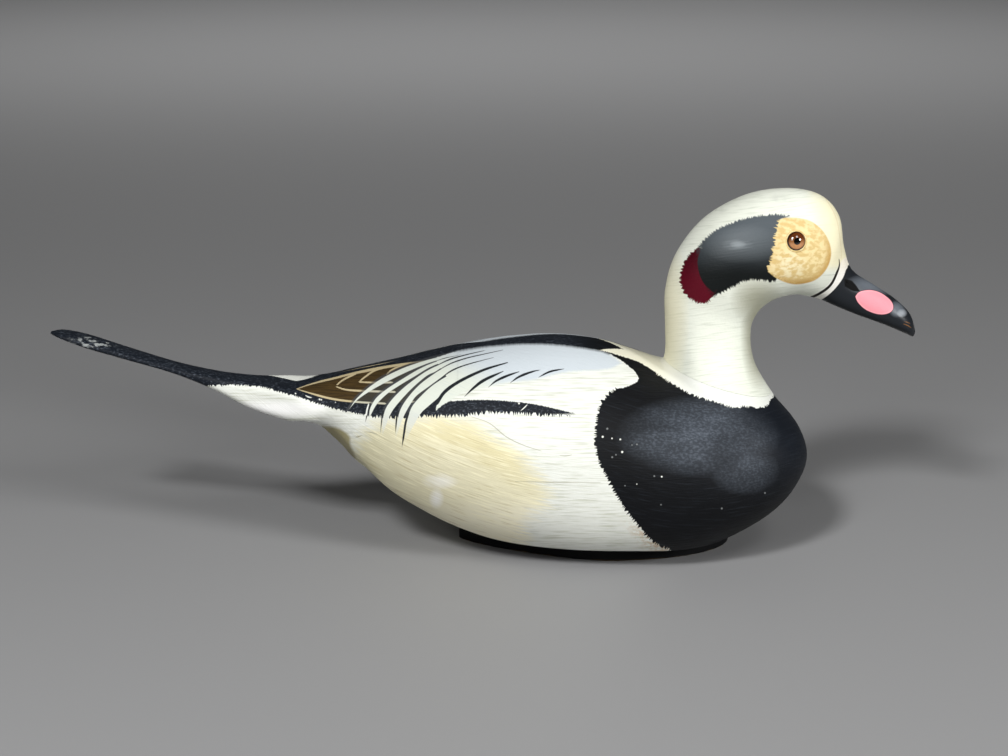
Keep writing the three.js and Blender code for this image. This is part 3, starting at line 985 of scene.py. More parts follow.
CRACKS = [
    ((0.4, 1.3, 0.9, 0.3), [(355.3, 437.3), (358.5, 436.6), (362.6, 435.2)]),
    ((0.4, 0.8, 0.8, 0.4), [(471, 416.6), (489.3, 423.2), (505.8, 436.5), (522.4, 444.8), (542.3, 451.4)]),
    ((0.3, 1.0, 0.3), [(559, 455.5), (566, 455.9), (573, 454.6)]),
    ((0.3, 0.7, 0.6, 0.3), [(514, 481.3), (550, 482.2), (601, 482.4)]),
    ((0.3, 0.9, 0.3), [(364, 431.8), (371, 432.4), (377.7, 434.5)]),
]
body_strokes = {"dark": DARK_STROKES, "tan": TAN_STROKES, "white": WHITE_STROKES, "crack": CRACKS}


def store_feathers(piece):
    """How far below its upper edge, below its lower edge and short of each feather's end a place is."""
    across, down = places_of(piece)
    for number, (upper, lower) in enumerate(FEATHERS):
        under_upper, _, _ = stroke_field(upper, across, down)
        under_lower, along, length = stroke_field(lower, across, down)
        store(piece, f"feather_{number}", (under_upper, under_lower, length - along))


for piece in (body, tail):
    store_feathers(piece)
    store_marks(piece, body_outlines, body_strokes)

# %% [markdown]
# The head carries a charcoal patch behind the face with a maroon end, a buff face round the eye, a
# fine dark line along the base of the bill, and a black bill with a pink oval on each side.

# %% Outlines and strokes on the head
CHEEK = [
    (2.2, [(697.7, 247), (708, 236.7), (720, 228), (746, 218.6), (774, 214.6), (790.5, 216.6)]),
    (0, [(790.5, 216.6), (785, 218.4), (780, 221), (786, 240), (784, 262), (775.5, 281.4)]),
    (2.6, [(775.5, 281.4), (762, 280.4), (748.5, 279.6), (736, 284.8), (722, 292.5), (712.7, 297.2)]),
    (0, [(712.7, 297.2), (701.5, 287), (695.5, 275), (693.6, 260), (697.7, 247)]),
]
MAROON = [
    (2.6, [(697.7, 247), (688, 256.5), (682.5, 268), (680.5, 280), (683.5, 290.5), (691, 299), (703, 303.6),
           (709.5, 300.4), (713.6, 296)]),
    (0, [(713.6, 296), (730, 280), (722, 258), (697.7, 247)]),
]
FACE = [
    (0, [(778.6, 220), (785.5, 217.8), (798, 218), (811, 221.3), (822.5, 230.5), (829.5, 243), (831, 256),
         (826.5, 269), (817, 279), (805, 283.4), (792, 284), (778, 279.2), (766.7, 270.7)]),
    (3.4, [(766.7, 270.7), (770.8, 261), (772, 252), (774.5, 243), (775.5, 232), (778.6, 220)]),
]
BILL_BLACK = [
    (0, [(846.2, 269.2), (842.3, 279), (833.3, 290.5), (822.5, 299.1), (808, 307)]),
    (0, [(808, 307), (812, 350), (940, 350), (940, 250), (858, 262), (846.2, 269.2)]),
]
PINK_OVAL = [
    (0, [(855.4, 296.4), (858.8, 292.4), (865, 290.4), (873, 290.4), (882, 293.6), (890.5, 300.4),
         (893.2, 306.6), (891, 311.6), (884.5, 314.2), (875.5, 313.6),
         (865.5, 309.4), (858.2, 302.6), (855.4, 296.4)]),
]
HEAD_STROKES = [
    ((0.6, 2.2, 2.5, 2.6, 2.2, 1.2),
     [(839, 259), (839.4, 265), (837.2, 272), (830.8, 284.7), (819.9, 293.3), (806, 299.5), (797, 302)]),
]
NOSTRIL = [
    (0, [(844.8, 279.4), (851.5, 281)]),
    (0, [(851.5, 281), (855.5, 285.4), (859.4, 291.2)]),
    (0, [(859.4, 291.2), (852.5, 290.2), (845, 286)]),
    (0, [(845, 286), (844.8, 279.4)]),
]
BROW_LINES = [((0.4, 0.9, 0.9, 0.4), [(820, 190), (835, 215), (840, 238), (842, 262)])]
BILL_SCRATCHES = [
    ((0.4, 0.9, 0.5), [(903, 323.7), (907.5, 325.4), (911.1, 327.7)]),
    ((0.3, 0.7, 0.3), [(904.5, 321.6), (907.5, 322.4), (910.5, 324)]),
]
head_outlines = {"cheek": CHEEK, "maroon": MAROON, "face": FACE, "bill": BILL_BLACK}
head_outlines.update({"oval": PINK_OVAL, "nostril": NOSTRIL})
head_strokes = {"line": HEAD_STROKES, "brow": BROW_LINES, "scratch": BILL_SCRATCHES}
store_marks(head, head_outlines, head_strokes)

# %% [markdown]
# The paints are procedural. A colour that is mixed from noise at two or three scales reads as oil
# paint, while one flat colour reads as plastic. A brush here is a material's tree together with the
# few things that every paint is made of: noise, soft steps, mixing and a last coat.

# %% A brush for the paint trees
SCREEN_GAMMA = 2.4
PAINT_SHINE = 0.18


def tint(code):
    """A colour from its six hexadecimal digits, as light rather than as screen values."""
    shown = [int(code[start:start + 2], 16) / 255 for start in (0, 2, 4)]
    light = [((v + 0.055) / 1.055) ** SCREEN_GAMMA if v > 0.04 else v / 12.92 for v in shown]
    return (*light, 1)


class Brush(Board):
    """A material's tree, with the few strokes that all the paints share."""

    def __init__(self, material):
        material.use_nodes = True
        super().__init__(material.node_tree)
        self.shader = material.node_tree.nodes["Principled BSDF"]
        self.here = self.add("ShaderNodeTexCoord", {}, {}, "Object")

    def noise(self, scale, detail, stretch=(1, 1, 1)):
        """Cloudy noise from 0 to 1 with so many lumps to the metre, stretched by its own axes."""
        place = self.add("ShaderNodeMapping", {}, {"Vector": self.here, "Scale": stretch})
        return self.add("ShaderNodeTexNoise", {}, {"Vector": place, "Scale": scale, "Detail": detail})

    def step(self, value, start, end):
        """0 below start, 1 above end, smooth in between. A start above the end turns it round."""
        knobs = {"Value": value, "From Min": start, "From Max": end}
        return self.add("ShaderNodeMapRange", {"interpolation_type": "SMOOTHSTEP"}, knobs)

    def mix(self, share, first, second):
        """The first colour, with a share of the second."""
        return self.add("ShaderNodeMix", {"data_type": "RGBA"}, {0: share, 6: first, 7: second}, 2)

    def edge(self, inside, soft=0.5):
        """1 inside an outline and 0 outside it, from the distance inside."""
        return (inside / soft + 0.5).share()

    def finish(self, colour, roughness, height, depth):
        """Joins the colour, the roughness and the relief to the shader. Depth is in metres."""
        relief = self.add("ShaderNodeBump", {}, {"Height": height, "Distance": depth})
        self.shader.inputs["Specular IOR Level"].default_value = PAINT_SHINE
        sockets = {"Base Color": colour, "Roughness": roughness, "Normal": relief}
        for name, value in sockets.items():
            self.tree.links.new(value.socket, self.shader.inputs[name])
        print(len(self.tree.nodes), "nodes")


print("brush ready")

# %% [markdown]
# The plumage, the face and the bill need more: a brush that reads the measures stored on the mesh
# and knows where each place of the bird shows in the photograph. The teeth of an edge are a saw
# whose pitch and length wander with a one-dimensional noise, because no two pulls of the brush are
# alike.

# %% A brush for the plumage
TOOTH_WANDER = 0.09
REACH_WANDER = 0.31


def any_of(masks):
    """1 where any of the masks is 1."""
    return functools.reduce(Wire.most, masks)


class FeatherBrush(Brush):
    """A brush that works over the outlines and strokes stored on a piece."""

    def __init__(self, material):
        super().__init__(material)
        self.across, self.down, _ = self.stored("photo_place")

    def stored(self, name):
        """The three numbers of an attribute of the mesh."""
        return self.add("ShaderNodeAttribute", {"attribute_name": name}, {}, "Vector").parts()

    def inside(self, name):
        """The distance inside an outline."""
        return self.stored(name)[0]

    def combed(self, along, over, length, width):
        """Noise drawn out into lines so long and so wide."""
        place = self.vector(along / length, over / width, 0.0)
        return self.add("ShaderNodeTexNoise", {}, {"Vector": place, "Scale": 1.0})

    def wander(self, along, scale, seed):
        """Noise along one number."""
        values = {"W": along + seed, "Scale": scale}
        return self.add("ShaderNodeTexNoise", {"noise_dimensions": "1D"}, values)

    def toothed(self, name, pitch=3.6, seed=0.0):
        """The distance inside an outline, with its edge pulled out into teeth."""
        inside, along, length = self.stored(name)
        turn = along / pitch + self.wander(along, TOOTH_WANDER, seed) * 5
        saw = abs((turn.math("FRACT") - 0.5) * 2)
        reach = self.wander(along, REACH_WANDER, seed + 40) * 1.2 + 0.4
        return inside + (saw * reach - 0.4) * length

    def strokes(self, kind, strokes):
        """1 on any stroke of a kind, 0 elsewhere."""
        marks = [self.stored(f"{kind}_{number}") for number in range(len(strokes))]
        return any_of([self.edge(half_width - abs(offset)) for offset, half_width, _ in marks])

    def glow(self, place, radii):
        """A soft round patch, 1 in its middle and 0 past its radii."""
        away = ((self.across - place[0]) / radii[0]) ** 2 + ((self.down - place[1]) / radii[1]) ** 2
        return (1 - away).share()

    def dots(self, specks):
        """1 on any of the small specks, each given as its place and radius."""
        away = [(((self.across - x) ** 2 + (self.down - y) ** 2) ** 0.5, radius) for x, y, radius in specks]
        return any_of([self.edge(radius - distance, 0.7) for distance, radius in away])


print("feather brush ready")

# %% [markdown]
# Body and tail share one plumage. The flank comes first. Its white has yellowed towards the rear,
# where the varnish lay thickest, and the brush marks fall from the back and then level out along
# the flank, so the noise is combed along that flow. Dirt has gathered where the hands hold the
# bird, beside the black of the breast. Below the colours stand the lengths and widths of the brush
# marks, and the stretches and soft patches of the photograph in which a colour comes or goes.

# %% The flank
WHITE = tint("E5E7DF")
STREAKED_WHITE = tint("BFC1AF")
CREAM = tint("DFD9B9")
DEEP_CREAM = tint("DCD3A9")
GREY_CREAM = tint("C9C4A3")
LIGHT_LINES = tint("F4EECD")
DARK_LINES = tint("BBAB7C")
CREAM_PAINTED_LIGHT = tint("F0EBD2")
WHITE_SMUDGE = tint("B9BCB4")
BARE_PATCH = tint("FFFFFC")
STAIN = tint("B8915C")
RUMP_SHADE_OLIVE = tint("A59D78")
RUMP_SHADOW = tint("A39C7C")
FLOW_STARTS = 340
FLOW_FALLS = 0.62
FLOW_LEVELS = 0.00105
FINE_MARKS = (26.0, 1.5)
BROAD_MARKS = (60.0, 7.0)
LEVEL_MARKS = (30.0, 1.7)
DEEP_RIM = (44, 10)
DEEP_ABOVE = (500, 455)
DEEP_AHEAD = (385, 440)
GREY_BEHIND = (415, 365)
PAINTED_LIGHT_BELOW = (490, 525)
PALE_PATCH = ((440, 481), (20, 9))
BARE_SPOT = ((436.5, 498.5), (8, 11))
STAIN_BESIDE = (-16, -2)
STAIN_BELOW = (512, 540)
STAIN_GROWS = (400, 530)
RUMP_DARKENS = (430, 458)


def white_flank(brush, level):
    white = brush.mix(brush.step(level, 0.44, 0.76) * 0.8, WHITE, STREAKED_WHITE)
    smudged = brush.step(brush.noise(60, 3), 0.58, 0.78) * brush.step(level, 0.35, 0.6) * 0.4
    return brush.mix(smudged, white, WHITE_SMUDGE)


def cream_flank(brush, inside, fine, broad):
    deep = brush.step(inside, *DEEP_RIM) * brush.step(brush.down, *DEEP_ABOVE)
    cream = brush.mix(deep * brush.step(brush.across, *DEEP_AHEAD), CREAM, DEEP_CREAM)
    cream = brush.mix(brush.step(brush.across, *GREY_BEHIND) * 0.7, cream, GREY_CREAM)
    # Painted light: the cream is paler towards the bottom of the flank, for the light the table throws up.
    cream = brush.mix(brush.step(brush.down, *PAINTED_LIGHT_BELOW), cream, CREAM_PAINTED_LIGHT)
    cream = brush.mix(brush.step(broad, 0.52, 0.72) * 0.5, cream, LIGHT_LINES)
    cream = brush.mix(brush.step(fine, 0.52, 0.7) * 0.75, cream, LIGHT_LINES)
    cream = brush.mix(brush.step(fine, 0.45, 0.27) * 0.5, cream, DARK_LINES)
    pale = brush.glow(*PALE_PATCH) * brush.step(broad, 0.4, 0.6)
    return brush.mix(pale * 0.55, cream, BARE_PATCH)


def flank_paint(brush):
    """The flank's colour, and the fine brush marks that the relief takes up again."""
    past = brush.across - FLOW_STARTS
    flow = brush.down - (FLOW_FALLS * past - FLOW_LEVELS * past ** 2)
    fine = brush.combed(brush.across, flow, *FINE_MARKS)
    broad = brush.combed(brush.across, flow, *BROAD_MARKS)
    white = white_flank(brush, brush.combed(brush.across, brush.down, *LEVEL_MARKS))
    inside = brush.inside("cream") + (broad - 0.5) * 34 + (fine - 0.5) * 30
    colour = brush.mix(brush.edge(inside, 18), white, cream_flank(brush, inside, fine, broad))
    spot = brush.glow(*BARE_SPOT) * (0.3 + fine * 0.8)
    colour = brush.mix(spot.share(), colour, BARE_PATCH)
    beside_black = brush.step(brush.inside("black"), *STAIN_BESIDE) * brush.step(brush.down, *STAIN_BELOW)
    stain = beside_black * brush.step(brush.noise(420, 3), 0.4, 0.62)
    colour = brush.mix(stain * brush.step(brush.down, *STAIN_GROWS) * 0.55, colour, STAIN)
    # Painted shade on the rump's end under the tail, olive and darker towards the bottom.
    rump_shade_paint = brush.mix(brush.step(brush.down, *RUMP_DARKENS), RUMP_SHADE_OLIVE, RUMP_SHADOW)
    return brush.mix(brush.edge(brush.inside("rump_end"), 3.0), colour, rump_shade_paint), fine


print("flank paint ready")

# %% [markdown]
# The black is old oil paint: matt, a little blue where light has bleached it, and grey on the round
# of the breast, where dust from rubbing and a painted sheen of the lamps lie together. The brown
# feathers behind the shoulder are a warm umber.

# %% The black and the brown
DEEP_BLACK = tint("050608")
BLUE_BLACK = tint("131820")
DUST_AND_SHEEN_GREY = tint("6C747F")
BRUSHED_GREY = tint("343A42")
BROWN_PAINT = tint("4B3A1E")
DARK_BROWN = tint("362A17")
ARCS_MIDDLE = 700
ARCS_BEND = 0.002
ARC_MARKS = (26.0, 1.6)
BROWN_MARKS = (18.0, 1.6)
BLUE_AHEAD = (640, 830)
BLUE_ABOVE = (520, 440)
BLUE_BACK = (610, 560)
DUST_AND_SHEEN_ON_BREAST = ((698, 436), (84, 42))
DUST_AND_SHEEN_LOW = ((744, 470), (36, 26))
WORN_BACK = (600, 560)


def black_paint(brush):
    bent = brush.down + (brush.across - ARCS_MIDDLE) ** 2 * ARCS_BEND
    arcs = brush.combed(brush.across, bent, *ARC_MARKS)
    speckle = brush.noise(950, 3, (0.6, 1, 1))
    dust = brush.noise(60, 4, (0.5, 1, 1))
    blue = brush.step(brush.across, *BLUE_AHEAD) * brush.step(brush.down, *BLUE_ABOVE)
    blue = blue.most(brush.step(brush.across, *BLUE_BACK))
    colour = brush.mix(blue * 0.8 + dust * 0.2, DEEP_BLACK, BLUE_BLACK)
    # Dust and a painted sheen together grey the round of the breast.
    rubbed = brush.glow(*DUST_AND_SHEEN_ON_BREAST).most(brush.glow(*DUST_AND_SHEEN_LOW) * 0.8)
    rubbed = rubbed * (0.45 + brush.step(dust, 0.35, 0.7) * 0.55)
    colour = brush.mix(rubbed * (0.34 + brush.step(speckle, 0.4, 0.72) * 0.44), colour, DUST_AND_SHEEN_GREY)
    worn = brush.step(brush.across, *WORN_BACK) * brush.step(speckle, 0.5, 0.75)
    colour = brush.mix(worn * 0.42, colour, DUST_AND_SHEEN_GREY)
    return brush.mix(brush.step(arcs, 0.52, 0.75) * 0.2, colour, BRUSHED_GREY)


def brown_paint(brush):
    brushed = brush.combed(brush.across, brush.down, *BROWN_MARKS)
    return brush.mix(brush.step(brushed, 0.3, 0.7), DARK_BROWN, BROWN_PAINT)


print("black and brown ready")

# %% [markdown]
# The long feathers lie over all that. The gaps between two of them are shaded over the brown, and
# the tan lines run through the gaps. Each feather carries a dark grey fringe along its upper edge.
# The fringes come next, and only then the pale feathers and the dark strokes between them.

# %% The feathers
BLUE_GREY = tint("CBD3D8")
GREEN_GREY = tint("D9DED2")
PALE_TIP = tint("D3D6CC")
COOL_STREAK = tint("BCC6CA")
FRINGE = tint("45474A")
GAP_SHADE = tint("3A3B36")
TAN = tint("C2B28C")
PALE_TAN = tint("BDB9A4")
INK = tint("1E2226")
FRINGE_WIDTH = 2.3
STREAK_MARKS = (20.0, 1.4)
GREEN_MIDDLE = 470
GREEN_BELOW = (352, 388)
TIPS_BELOW = (404, 420)
SOFT_FOOT_AHEAD = (447, 460)
CRISP_FOOT_BEHIND = (470, 455)
SINKS_IN = (419, 440)


def between_edges(brush, upper, lower, to_end, soft=0.5):
    """1 below an upper edge, above a lower edge and short of the end of both."""
    return brush.edge(upper.least(lower * -1).least(to_end), soft)


def grey_shade(brush):
    """The pale grey of the shoulder, green towards the foot and streaked along the feathers."""
    leaning = brush.down + (brush.across - GREEN_MIDDLE) * -0.55
    shade = brush.mix(brush.step(leaning, *GREEN_BELOW), BLUE_GREY, GREEN_GREY)
    shade = brush.mix(brush.step(brush.down, *TIPS_BELOW), shade, PALE_TIP)
    lines = brush.combed(brush.across + brush.down, brush.down - brush.across * 0.5, *STREAK_MARKS)
    return brush.mix(brush.step(lines, 0.5, 0.8) * 0.35, shade, COOL_STREAK)


def shoulder_mask(brush):
    """1 on the shoulder patch, with a soft foot where it runs out over the black."""
    inside = brush.toothed("shoulder")
    soft_foot = brush.edge(inside, 3.0) * brush.step(brush.across, *SOFT_FOOT_AHEAD)
    return soft_foot.most(brush.edge(inside) * brush.step(brush.across, *CRISP_FOOT_BEHIND))


def feather_paint(brush, colour):
    brown = brush.edge(brush.inside("brown"))
    colour = brush.mix(brown, colour, brown_paint(brush))
    fields = [brush.stored(f"feather_{number}") for number in range(len(FEATHERS))]
    neighbours = zip(fields, fields[1:])
    gaps = any_of([between_edges(brush, above, below, to_end)
                   for (_, above, to_end), (below, _, _) in neighbours])
    colour = brush.mix(gaps * brown * 0.75, colour, GAP_SHADE)
    colour = brush.mix(brush.strokes("tan", TAN_STROKES), colour, brush.mix(gaps, TAN, PALE_TAN))
    feathers = any_of([between_edges(brush, *field) for field in fields])
    fringes = any_of([between_edges(brush, upper + FRINGE_WIDTH, lower, to_end, 1.0)
                      for upper, lower, to_end in fields])
    on_dark = brown.most(brush.edge(brush.toothed("black")))
    colour = brush.mix(fringes * on_dark * 0.7, colour, FRINGE)
    sinking_in = 1 - brush.step(brush.down, *SINKS_IN) * 0.8
    colour = brush.mix(feathers.most(shoulder_mask(brush)) * sinking_in, colour, grey_shade(brush))
    colour = brush.mix(brush.strokes("dark", DARK_STROKES), colour, INK)
    return brush.mix(brush.strokes("white", WHITE_STROKES), colour, WHITE)


print("feather paint ready")

# %% [markdown]
# Last come the neck, which is white again, a painted light that makes the underside of the tail's root
# paler, and the marks of age: specks of white paint that fell on the black, fine cracks in the flank
# and grey scuffs on the thin sprig of the tail. The right side was the side that got them. On the far
# half of the tail's root the painter left a wedge of white, and the black stripe along the back reaches
# a little further over to that side. The planed bottom is plain black like the keel, and this black also
# stands for the deep shadow under the body.

# %% Paint of the body and tail
NECK_CREAM = tint("E9E3C4")
SCUFF = tint("9FA3A2")
CRACK = tint("8B8468")
SPECKS = [
    (602.7, 436.8, 1.0), (612, 438.4, 0.7), (620.3, 439.4, 0.8), (622.2, 452, 1.0), (661.7, 476.7, 0.8),
    (636.8, 484.1, 0.5), (295.6, 393.5, 0.7), (319.6, 399.4, 0.8), (321.4, 399.8, 0.7), (335.5, 402.2, 0.4),
    (407, 401.8, 0.6), (519, 403.4, 0.9),
]
FAINT_SPECKS = [
    (607.3, 428.7, 1.0), (636.9, 444.4, 0.8), (632, 445, 0.6), (612.2, 457.2, 0.9), (616, 454.8, 0.7),
    (654.3, 476.1, 0.8), (625, 485.7, 0.6), (661, 504.7, 0.7), (721.8, 508.4, 0.9), (765, 493, 0.8),
]
UNDER_TAIL_PAINTED_LIGHT = ((275, 409), (58, 10))
SCUFFED_SPRIG = ((96, 343), (34, 10))
STRIPE_WIDENS = (510, 440)
STRIPE_REACH = 17.0
NECK_YELLOWS = (700, 640)
TAIL_ROOT_X = -113.0
WEDGE_BEHIND = -0.52
WEDGE_AHEAD = 0.74
WEDGE_START_X = (-140, -134)
BRUSH_RELIEF = 0.3 * MM


def far_side_paint(brush, colour, dark):
    """The black stripe that reaches over the back, and the white wedge on the far tail root."""
    x, y, _ = brush.scaled(brush.here, 1 / MM).parts()
    stripe_edge = brush.step(brush.across, *STRIPE_WIDENS) * STRIPE_REACH
    over_back = brush.step(y, 4, 4.6) * brush.step(y - stripe_edge, 0.6, 0)
    over_back = over_back * brush.step(x, TAIL_ROOT_X, TAIL_ROOT_X + 10)
    colour = brush.mix(over_back, colour, dark)
    wedge = ((x - TAIL_ROOT_X) * WEDGE_BEHIND).most((x - TAIL_ROOT_X) * WEDGE_AHEAD)
    far_white = brush.edge(y - 1 - wedge, 1.0) * brush.step(x, TAIL_ROOT_X + 14, TAIL_ROOT_X + 8)
    return brush.mix(far_white * brush.step(x, *WEDGE_START_X), colour, WHITE)


def marks_of_age(brush, colour):
    """Cracks, scuffs and specks on the right side, and the black of the planed bottom, which also stands
    for shadow.
    """
    _, y, z = brush.scaled(brush.here, 1 / MM).parts()
    right_side = brush.step(y, 1, 0)
    colour = brush.mix(brush.strokes("crack", CRACKS) * right_side * 0.7, colour, CRACK)
    scuffed = brush.glow(*SCUFFED_SPRIG) * brush.step(brush.noise(300, 3), 0.5, 0.66)
    scuffed = scuffed.most(brush.dots(FAINT_SPECKS) * 0.5) * right_side
    colour = brush.mix(scuffed, colour, SCUFF)
    colour = brush.mix(brush.dots(SPECKS) * right_side, colour, WHITE)
    # The planed bottom is painted black, which also stands for the deep shadow under the body.
    return brush.mix(brush.step(z, BOTTOM_Z + 0.5, BOTTOM_Z + 0.1), colour, DEEP_BLACK)


def plumage(brush):
    colour, fine = flank_paint(brush)
    # Painted light: the underside of the tail's root is made paler.
    colour = brush.mix(brush.glow(*UNDER_TAIL_PAINTED_LIGHT), colour, BARE_PATCH)
    black = brush.edge(brush.toothed("black"))
    dark = black_paint(brush)
    colour = feather_paint(brush, brush.mix(black, colour, dark))
    colour = far_side_paint(brush, colour, dark)
    neck_shade = brush.mix(brush.step(brush.across, *NECK_YELLOWS) * 0.6, WHITE, NECK_CREAM)
    neck = brush.edge(brush.toothed("neck_white", seed=7.0))
    colour = marks_of_age(brush, brush.mix(neck, colour, neck_shade))
    roughness = 0.5 + black * (1 - neck) * 0.08 + (fine - 0.5) * 0.12
    brush.finish(colour, roughness, fine * 0.7 + brush.noise(420, 3) * 0.3, BRUSH_RELIEF)


plumage(FeatherBrush(PAINTS["body_paint"]))
plumage(FeatherBrush(PAINTS["tail_paint"]))

# %% [markdown]
# The neck and crown are a greenish white with fine level brush lines, and hands have left them a
# little grey and yellow. The throat and the front of the neck carry a painted grey shade. The face is
# stippled buff, darker below.

# %% The white and the face
HEAD_WHITE = tint("E2E5D8")
HEAD_SHADE = tint("C0C5B5")
HEAD_CREAM = tint("EFE6BE")
HEAD_SMUDGE = tint("B4B7AE")
THROAT_SHADE = tint("A09F88")
BUFF = tint("D5B97C")
LIGHT_BUFF = tint("EAD8A4")
PALE_BUFF = tint("ECE3C2")
OCHRE = tint("B98A3A")
UMBER = tint("6B4A22")
HEAD_MARKS = (24.0, 1.7)
BROW_AHEAD = (812, 842)
BROW_ABOVE = (275, 262)
NAPE = ((664, 315), (26, 90))
THROAT_SHADE_PATCH = ((757, 300), (28, 26))
THROAT_SHADE_FOOT = ((758, 332), (18, 60))
SMUDGES = [((730, 210), (12, 9)), ((668, 233), (7, 9)), ((780, 198), (12, 5))]
WASHED_CHEEK = ((789, 266), (20, 17))
LOWER_RIM = (885, 925)
LOW_BELOW = (402, 412)
LOW_BEHIND = (812, 770)
DARK_BEHIND = (800, 768)
DARK_BELOW = (268, 278)


def head_white(brush, lines):
    clouds = brush.noise(70, 3)
    white = brush.mix(brush.step(lines, 0.46, 0.78) * 0.65, HEAD_WHITE, HEAD_SHADE)
    brow = brush.step(brush.across + clouds * 20, *BROW_AHEAD) * brush.step(brush.down, *BROW_ABOVE)
    white = brush.mix(brow.most(brush.glow(*NAPE) * 0.8) * 0.8, white, HEAD_CREAM)
    # Painted shade on the throat and down the front of the neck.
    throat_shade = (brush.glow(*THROAT_SHADE_PATCH) * 0.78).most(brush.glow(*THROAT_SHADE_FOOT))
    white = brush.mix(throat_shade, white, THROAT_SHADE)
    hands = any_of([brush.glow(*smudge) for smudge in SMUDGES])
    return brush.mix(hands * brush.step(clouds, 0.4, 0.6) * 0.5, white, HEAD_SMUDGE)


def face_paint(brush):
    dabs = brush.noise(420, 3, (0.6, 1, 1))
    stipple = brush.noise(900, 2)
    buff = brush.mix(brush.step(dabs, 0.4, 0.6) * 0.85, BUFF, LIGHT_BUFF)
    washed = brush.glow(*WASHED_CHEEK) * brush.step(dabs, 0.35, 0.65)
    buff = brush.mix(washed * 0.7, buff, PALE_BUFF)
    inside = brush.inside("face")
    rim = brush.step(inside, 7, 1) * brush.step(brush.down + brush.across * 0.8, *LOWER_RIM)
    low = brush.step(brush.down + brush.across * 0.16, *LOW_BELOW) * brush.step(brush.across, *LOW_BEHIND)
    stained = rim * 0.7 + low * 0.2 + brush.step(inside, 12, 2) * 0.12
    buff = brush.mix(stained * brush.step(dabs, 0.2, 0.6), buff, OCHRE)
    dark = brush.step(inside, 9, 2) * brush.step(brush.across, *DARK_BEHIND)
    dark = dark * brush.step(brush.down, *DARK_BELOW)
    return brush.mix(dark * brush.step(stipple, 0.5, 0.7) * 0.6, buff, UMBER)


print("white and face ready")

# %% [markdown]
# The patch behind the face is charcoal, painted lighter at the top where the light falls and with a
# painted highlight in the middle. Its rear end is maroon, and there the charcoal stops a little short of
# its outline.

# %% The charcoal patch
CHARCOAL = tint("0E1212")
CHARCOAL_LIT_TOP = tint("50575C")
CHARCOAL_HIGHLIGHT = tint("A8B0B3")
MAROON_PAINT = tint("580419")
DARK_MAROON = tint("3C0410")
DARK_MAROON_ABOVE = (292, 262)
CHARCOAL_BELOW = (228, 280)
HIGHLIGHT_HALO = ((742, 244), (44, 20))
HIGHLIGHT_SPOT = ((738, 245), (22, 8))
HIGHLIGHT_CORE = ((738, 244.5), (9, 4))
FULL_AHEAD = (612, 624)
SHORT_OF_EDGE = 4.0


def charcoal_paint(brush, lines, clouds):
    # Painted light: lighter charcoal at the top, and a painted highlight with a soft halo.
    charcoal = brush.mix(brush.step(brush.down + clouds * 8, *CHARCOAL_BELOW), CHARCOAL_LIT_TOP, CHARCOAL)
    highlight = brush.glow(*HIGHLIGHT_SPOT) * (0.2 + brush.step(lines, 0.4, 0.7) * 0.12)
    highlight = highlight + brush.glow(*HIGHLIGHT_CORE) * 0.3
    return brush.mix((brush.glow(*HIGHLIGHT_HALO) * 0.12).most(highlight), charcoal, CHARCOAL_HIGHLIGHT)


def cheek_paint(brush, colour, lines, clouds, speckle):
    """The charcoal patch and its maroon end over the colour of the head."""
    darker = brush.step(brush.down + speckle * 14, *DARK_MAROON_ABOVE) * 0.75
    maroon = brush.mix(darker, MAROON_PAINT, DARK_MAROON)
    colour = brush.mix(brush.edge(brush.toothed("maroon", seed=3.0)), colour, maroon)
    cheek = brush.toothed("cheek", pitch=2.6, seed=11.0)
    full = brush.step(brush.across - brush.down * 0.32 + (speckle - 0.5) * 16, *FULL_AHEAD)
    inner = brush.edge(cheek - SHORT_OF_EDGE) * (1 - full) + full
    return brush.mix(brush.edge(cheek, 1.2) * inner, colour, charcoal_paint(brush, lines, clouds))


print("charcoal patch ready")

# %% [markdown]
# The bill is smoother and shines more than the rest, all but its pink ovals and the insides of the
# nostrils. Its ridge carries a painted sheen and its tip a painted highlight. A pale seam and a dark
# line part it from the face, and two scratches near the tip show the bare wood.

# %% The bill and the whole head
BILL_PAINT = tint("1F2226")
BILL_SHEEN = tint("646A71")
BILL_TIP_HIGHLIGHT = tint("9DA2A8")
NOSTRIL_BLACK = tint("020202")
PINK = tint("F0959F")
PALE_PINK = tint("F9B4BA")
OVAL_RIM = tint("3A1A22")
BILL_SEAM = tint("F3EBE8")
BARE_WOOD = tint("8F6238")
INK_LINE = tint("16110C")
RIDGE_SHEEN = ((878, 284), (34, 12))
RIDGE_SHEEN_END = ((897, 309), (9, 9))
TIP_HIGHLIGHT = ((902, 313), (5.5, 4.5))
HEAD_RELIEF = 0.28 * MM


def bill_paint(brush, colour, on_bill, oval, on_oval):
    # Painted sheen along the ridge and a painted highlight at the tip.
    ridge_sheen = brush.glow(*RIDGE_SHEEN).most(brush.glow(*RIDGE_SHEEN_END))
    black_bill = brush.mix(ridge_sheen, BILL_PAINT, BILL_SHEEN)
    black_bill = brush.mix(brush.glow(*TIP_HIGHLIGHT) * 0.8, black_bill, BILL_TIP_HIGHLIGHT)
    colour = brush.mix(on_bill, colour, black_bill)
    colour = brush.mix(on_oval * 0.8, colour, OVAL_RIM)
    pink = brush.mix(brush.step(oval, 1.6, 0.6) * 0.4, PINK, PALE_PINK)
    return brush.mix(brush.edge(oval), colour, pink)


